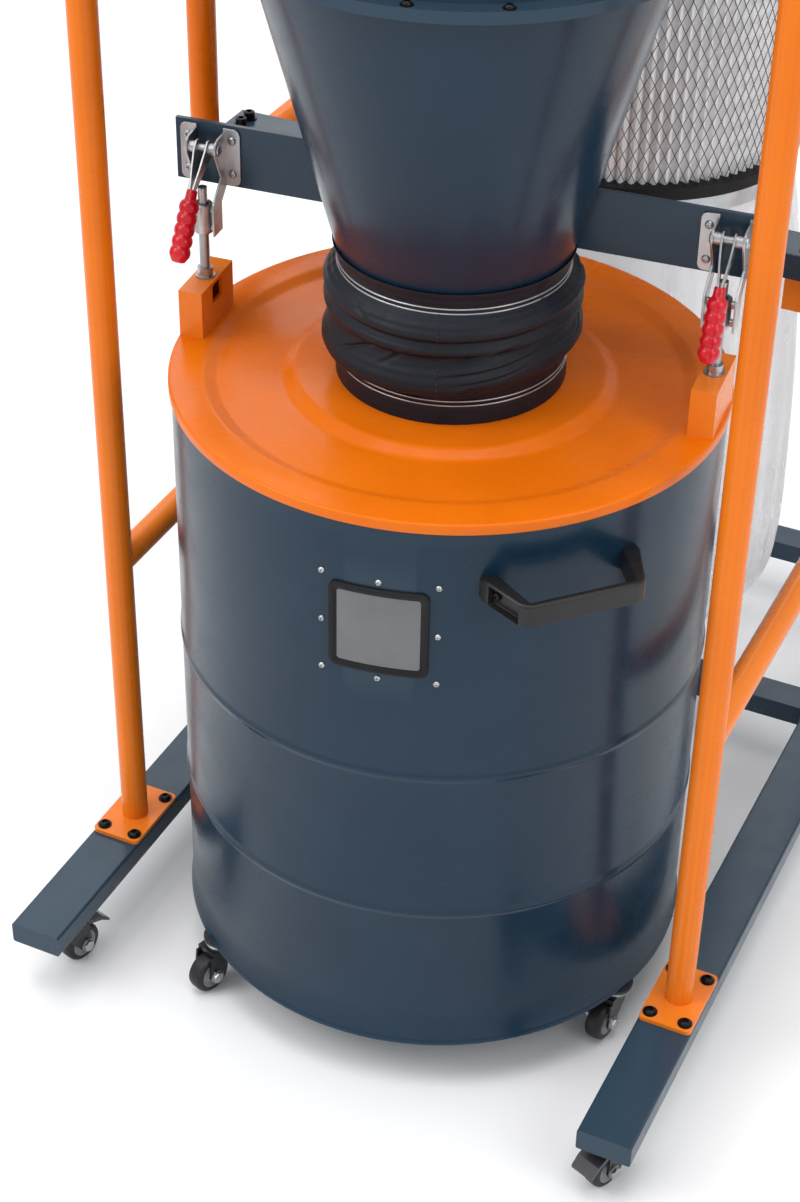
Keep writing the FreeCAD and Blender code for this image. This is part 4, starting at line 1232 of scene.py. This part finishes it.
def cowl_grille(axis, wire=0.0016):
    radius, top = drum("motor_cowl")[1::2]
    bm = bmesh.new()
    for share in (0.24, 0.42, 0.60, 0.78):
        section = [(radius * share + wire * math.cos(t), top + 0.0004 + wire * math.sin(t))
                   for t in turns(10)]
        spin(bm, section, 64, axis)
    for k in range(SPOKE_COUNT):
        place = turned_to(axis + Vector((0, 0, top)), 360 / SPOKE_COUNT * k)
        place = place @ Matrix.Translation((radius * 0.46, 0, 0))
        block(bm, place, (radius * 0.66, 0.0034, 0.0030), 0.001)
    piece("cowl_grille", bm, BLACK_STEEL, "frame")


def junction_box(axis, radius, height):
    side = turned_to(axis + Vector((0, 0, height)), 60)
    box_at = side @ Matrix.Translation((radius + 0.022, 0, 0)) @ LAID_FLAT
    bm = bmesh.new()
    block(bm, box_at, (0.086, 0.078, 0.040), 0.008)
    block(bm, box_at @ Matrix.Translation((0, 0, 0.0225)), (0.092, 0.084, 0.006), 0.009)
    bevel(piece("junction_box", bm, CASTING, "frame"), 0.0015, 2)
    bm = bmesh.new()
    outward = box_at.to_3x3() @ Vector((0, 0, 1))
    for u in (-0.038, 0.038):
        for v in (-0.034, 0.034):
            screw_head(bm, box_at @ Vector((u, v, 0.0255)), outward, 0.0036, 0.0024, "cross", dome=0.9)
    piece("junction_box_screws", bm, ZINC, "frame")


def motor_details():
    axis, foot_radius, foot, top = drum("fan_motor")
    radius = foot_radius - 0.022
    bottom, top = foot + 0.022, min(top, drum("motor_cowl")[2]) - 0.006
    motor_fins(axis, radius, bottom, top)
    motor_foot_screws(axis, radius, foot + 0.012)
    cowl_grille(axis)
    junction_box(axis, radius, (bottom + top) / 2)


motor_details()
print("motor fins", FIN_COUNT)

# %% [markdown]
# ## The bag's band
# The band that holds the bag is a strip drawn tight by a small over-centre latch, so that
# the bag can be changed without tools.

# %% Band latch
def band_latch():
    radius, foot, top = drum("bag_band")[1:]
    middle = (foot + top) / 2
    bm = bmesh.new()
    for degrees in (152, 158.5):
        at = FILTER_AXIS + polar(radius, math.radians(degrees), middle)
        place = turned_to(at, degrees) @ LAID_FLAT @ Matrix.Translation((0, 0, 0.0022))
        block(bm, place, (top - foot - 0.006, 0.016, 0.0044), 0.002)
    at = FILTER_AXIS + polar(radius + 0.006, math.radians(155), middle)
    block(bm, turned_to(at, 155) @ LAID_FLAT, (0.011, 0.058, 0.0022), 0.003)
    bevel(piece("band_latch", bm, ZINC, "frame"), 0.0005, 2)


band_latch()
print("latch placed")

# %% [markdown]
# ## The filter
# The filter is a pleated cylinder in a diamond wire mesh. The pleats are one skin whose
# radius zigzags, with the tips slightly rounded. The mesh is two families of thin helices
# that cross, each a three-sided tube, which keeps the count of faces low.

# %% Filter pleats
FLEECE = finish("pleated_fleece", (0.84, 0.85, 0.86), (0.92, 0.93, 0.94), (0.8, 0.95), 1400.0, 0.0003,
                coarse=14.0)
WIRE = finish("dark_mesh_wire", (0.05, 0.055, 0.06), (0.09, 0.095, 0.10), (0.35, 0.5), 900.0, 0.0001,
              coarse=60.0, Metallic=0.6)


def filter_pleats(pleats=88, inner_radius=0.152):
    """One pleat is a few radii from valley to tip and back, repeated round the filter."""
    shape = [0.1755, 0.1790, 0.1835, 0.1850, 0.1835, 0.1790]
    across = len(shape)
    rings = []
    levels = [FILTER_LOW + up for up in (0, 0.01, 0.2, 0.4)] + [FILTER_HIGH - 0.01, FILTER_HIGH]
    for z in levels:
        ring = []
        for k in range(pleats * across):
            wobble = 0.0010 * noise.noise(Vector((k // across * 0.7, z * 9, 4)))
            a = 2 * math.pi * (k + 40 * wobble) / (pleats * across)
            r = shape[k % across] + wobble
            ring.append(FILTER_AXIS + polar(r, a, z))
        rings.append(ring)
    inner = []
    for ring in (rings[-1], rings[0]):
        level = Vector((0, 0, ring[0].z))
        inner.append([FILTER_AXIS + (p - FILTER_AXIS - level).normalized() * inner_radius + level
                      for p in ring])
    bm = bmesh.new()
    skin(bm, rings + inner, stacked=True)
    piece("filter_pleats", bm, FLEECE, "frame", ["filter_cartridge"], crease=60)


def filter_mesh(strands=98, steps=40, radius=0.1866, wire=0.00052, slope=2.05):
    """Two families of thin helices that cross. The slope is how much a wire climbs for its run."""
    height = FILTER_HIGH - FILTER_LOW
    sweep = height / slope / radius
    bm = bmesh.new()
    for way in (-1, 1):
        for strand in range(strands):
            rings = []
            for k in range(steps + 1):
                a = 2 * math.pi * strand / strands + way * sweep * k / steps
                out = Vector((math.cos(a), math.sin(a), 0))
                along = Vector((-out.y, out.x, 0))
                level = Vector((0, 0, FILTER_LOW + height * k / steps))
                middle = FILTER_AXIS + out * (radius + way * 0.0002) + level
                rings.append([middle + out * wire, middle - out * wire * 0.5 + along * wire,
                              middle - out * wire * 0.5 - along * wire])
            capped(bm, rings)
    made = piece("filter_wire_mesh", bm, WIRE, "frame", crease=80)
    print("mesh faces", len(made.data.polygons))


filter_pleats()
filter_mesh()

# %% [markdown]
# ## The dust bag
# The bag is thin milky film, clamped under the filter by a band. Film that hangs from a ring
# falls in shallow upright folds that fade as it fills out. A cloth simulation could make
# them, but noise along the skin's radius is quicker and gives the same folds each time. A
# subdivision modifier smooths them.

# %% Dust bag
def film():
    material = finish("milky_film", (0.86, 0.875, 0.89), (0.92, 0.93, 0.94), (0.16, 0.34), 90.0, 0.0012,
                      coarse=7.0, stretch=(1, 1, 0.35), Transmission_Weight=0.35, IOR=1.45)
    shader = material.node_tree.nodes["Principled BSDF"]
    shader.inputs["Alpha"].default_value = 0.86
    return material


def dust_bag():
    low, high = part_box("dust_bag")
    radius = (high.x - low.x) / 2
    neck = 0.1935
    outline = [(neck, high.z), (neck, high.z - 0.026), (neck + 0.003, high.z - 0.040),
               (neck + 0.012, high.z - 0.075),
               (radius - 0.014, high.z - 0.17), (radius - 0.004, 0.52), (radius, 0.40),
               (radius - 0.001, 0.32), (radius - 0.008, 0.25), (radius - 0.028, 0.205),
               (radius - 0.060, 0.184), (radius - 0.11, 0.176), (0.05, 0.173), (0.004, 0.172)]
    outline = [tuple(p) for p in soft(outline, 0.03, 3, closed=False)]
    rings = []
    for r0, z in outline:
        hang = clamp01((high.z - 0.030 - z) / 0.18)
        body = hang * (1.0 if z > 0.2 else 0.4)
        gathered = (1 - hang * 0.7) * (1 if z < high.z - 0.03 else 0)
        ring = []
        for a in turns(200):
            around = Vector((math.cos(a), math.sin(a), 0))
            fold = noise.noise(Vector((around.x * 5.5, around.y * 5.5, z * 1.6))) * 0.010
            fold += noise.noise(Vector((around.x * 14, around.y * 14, z * 3.0 + 5))) * 0.0045
            fold += 0.0018 * math.sin(a * 38 + 2 * math.sin(a * 5)) * gathered
            r = r0 + (fold - 0.004) * body * min(1, r0 / 0.1)
            ring.append(FILTER_AXIS + around * r + Vector((0, 0, z)))
        rings.append(ring)
    bm = bmesh.new()
    rows = skin(bm, rings)
    bm.faces.new(rows[-1])
    made = piece("film_bag", bm, film(), "frame", ["dust_bag"], crease=80)
    smooth = made.modifiers.new("smooth", "SUBSURF")
    smooth.levels = smooth.render_levels = 1
    print("film area", round(sum(face.area for face in made.data.polygons), 4))
    return made


dust_bag()
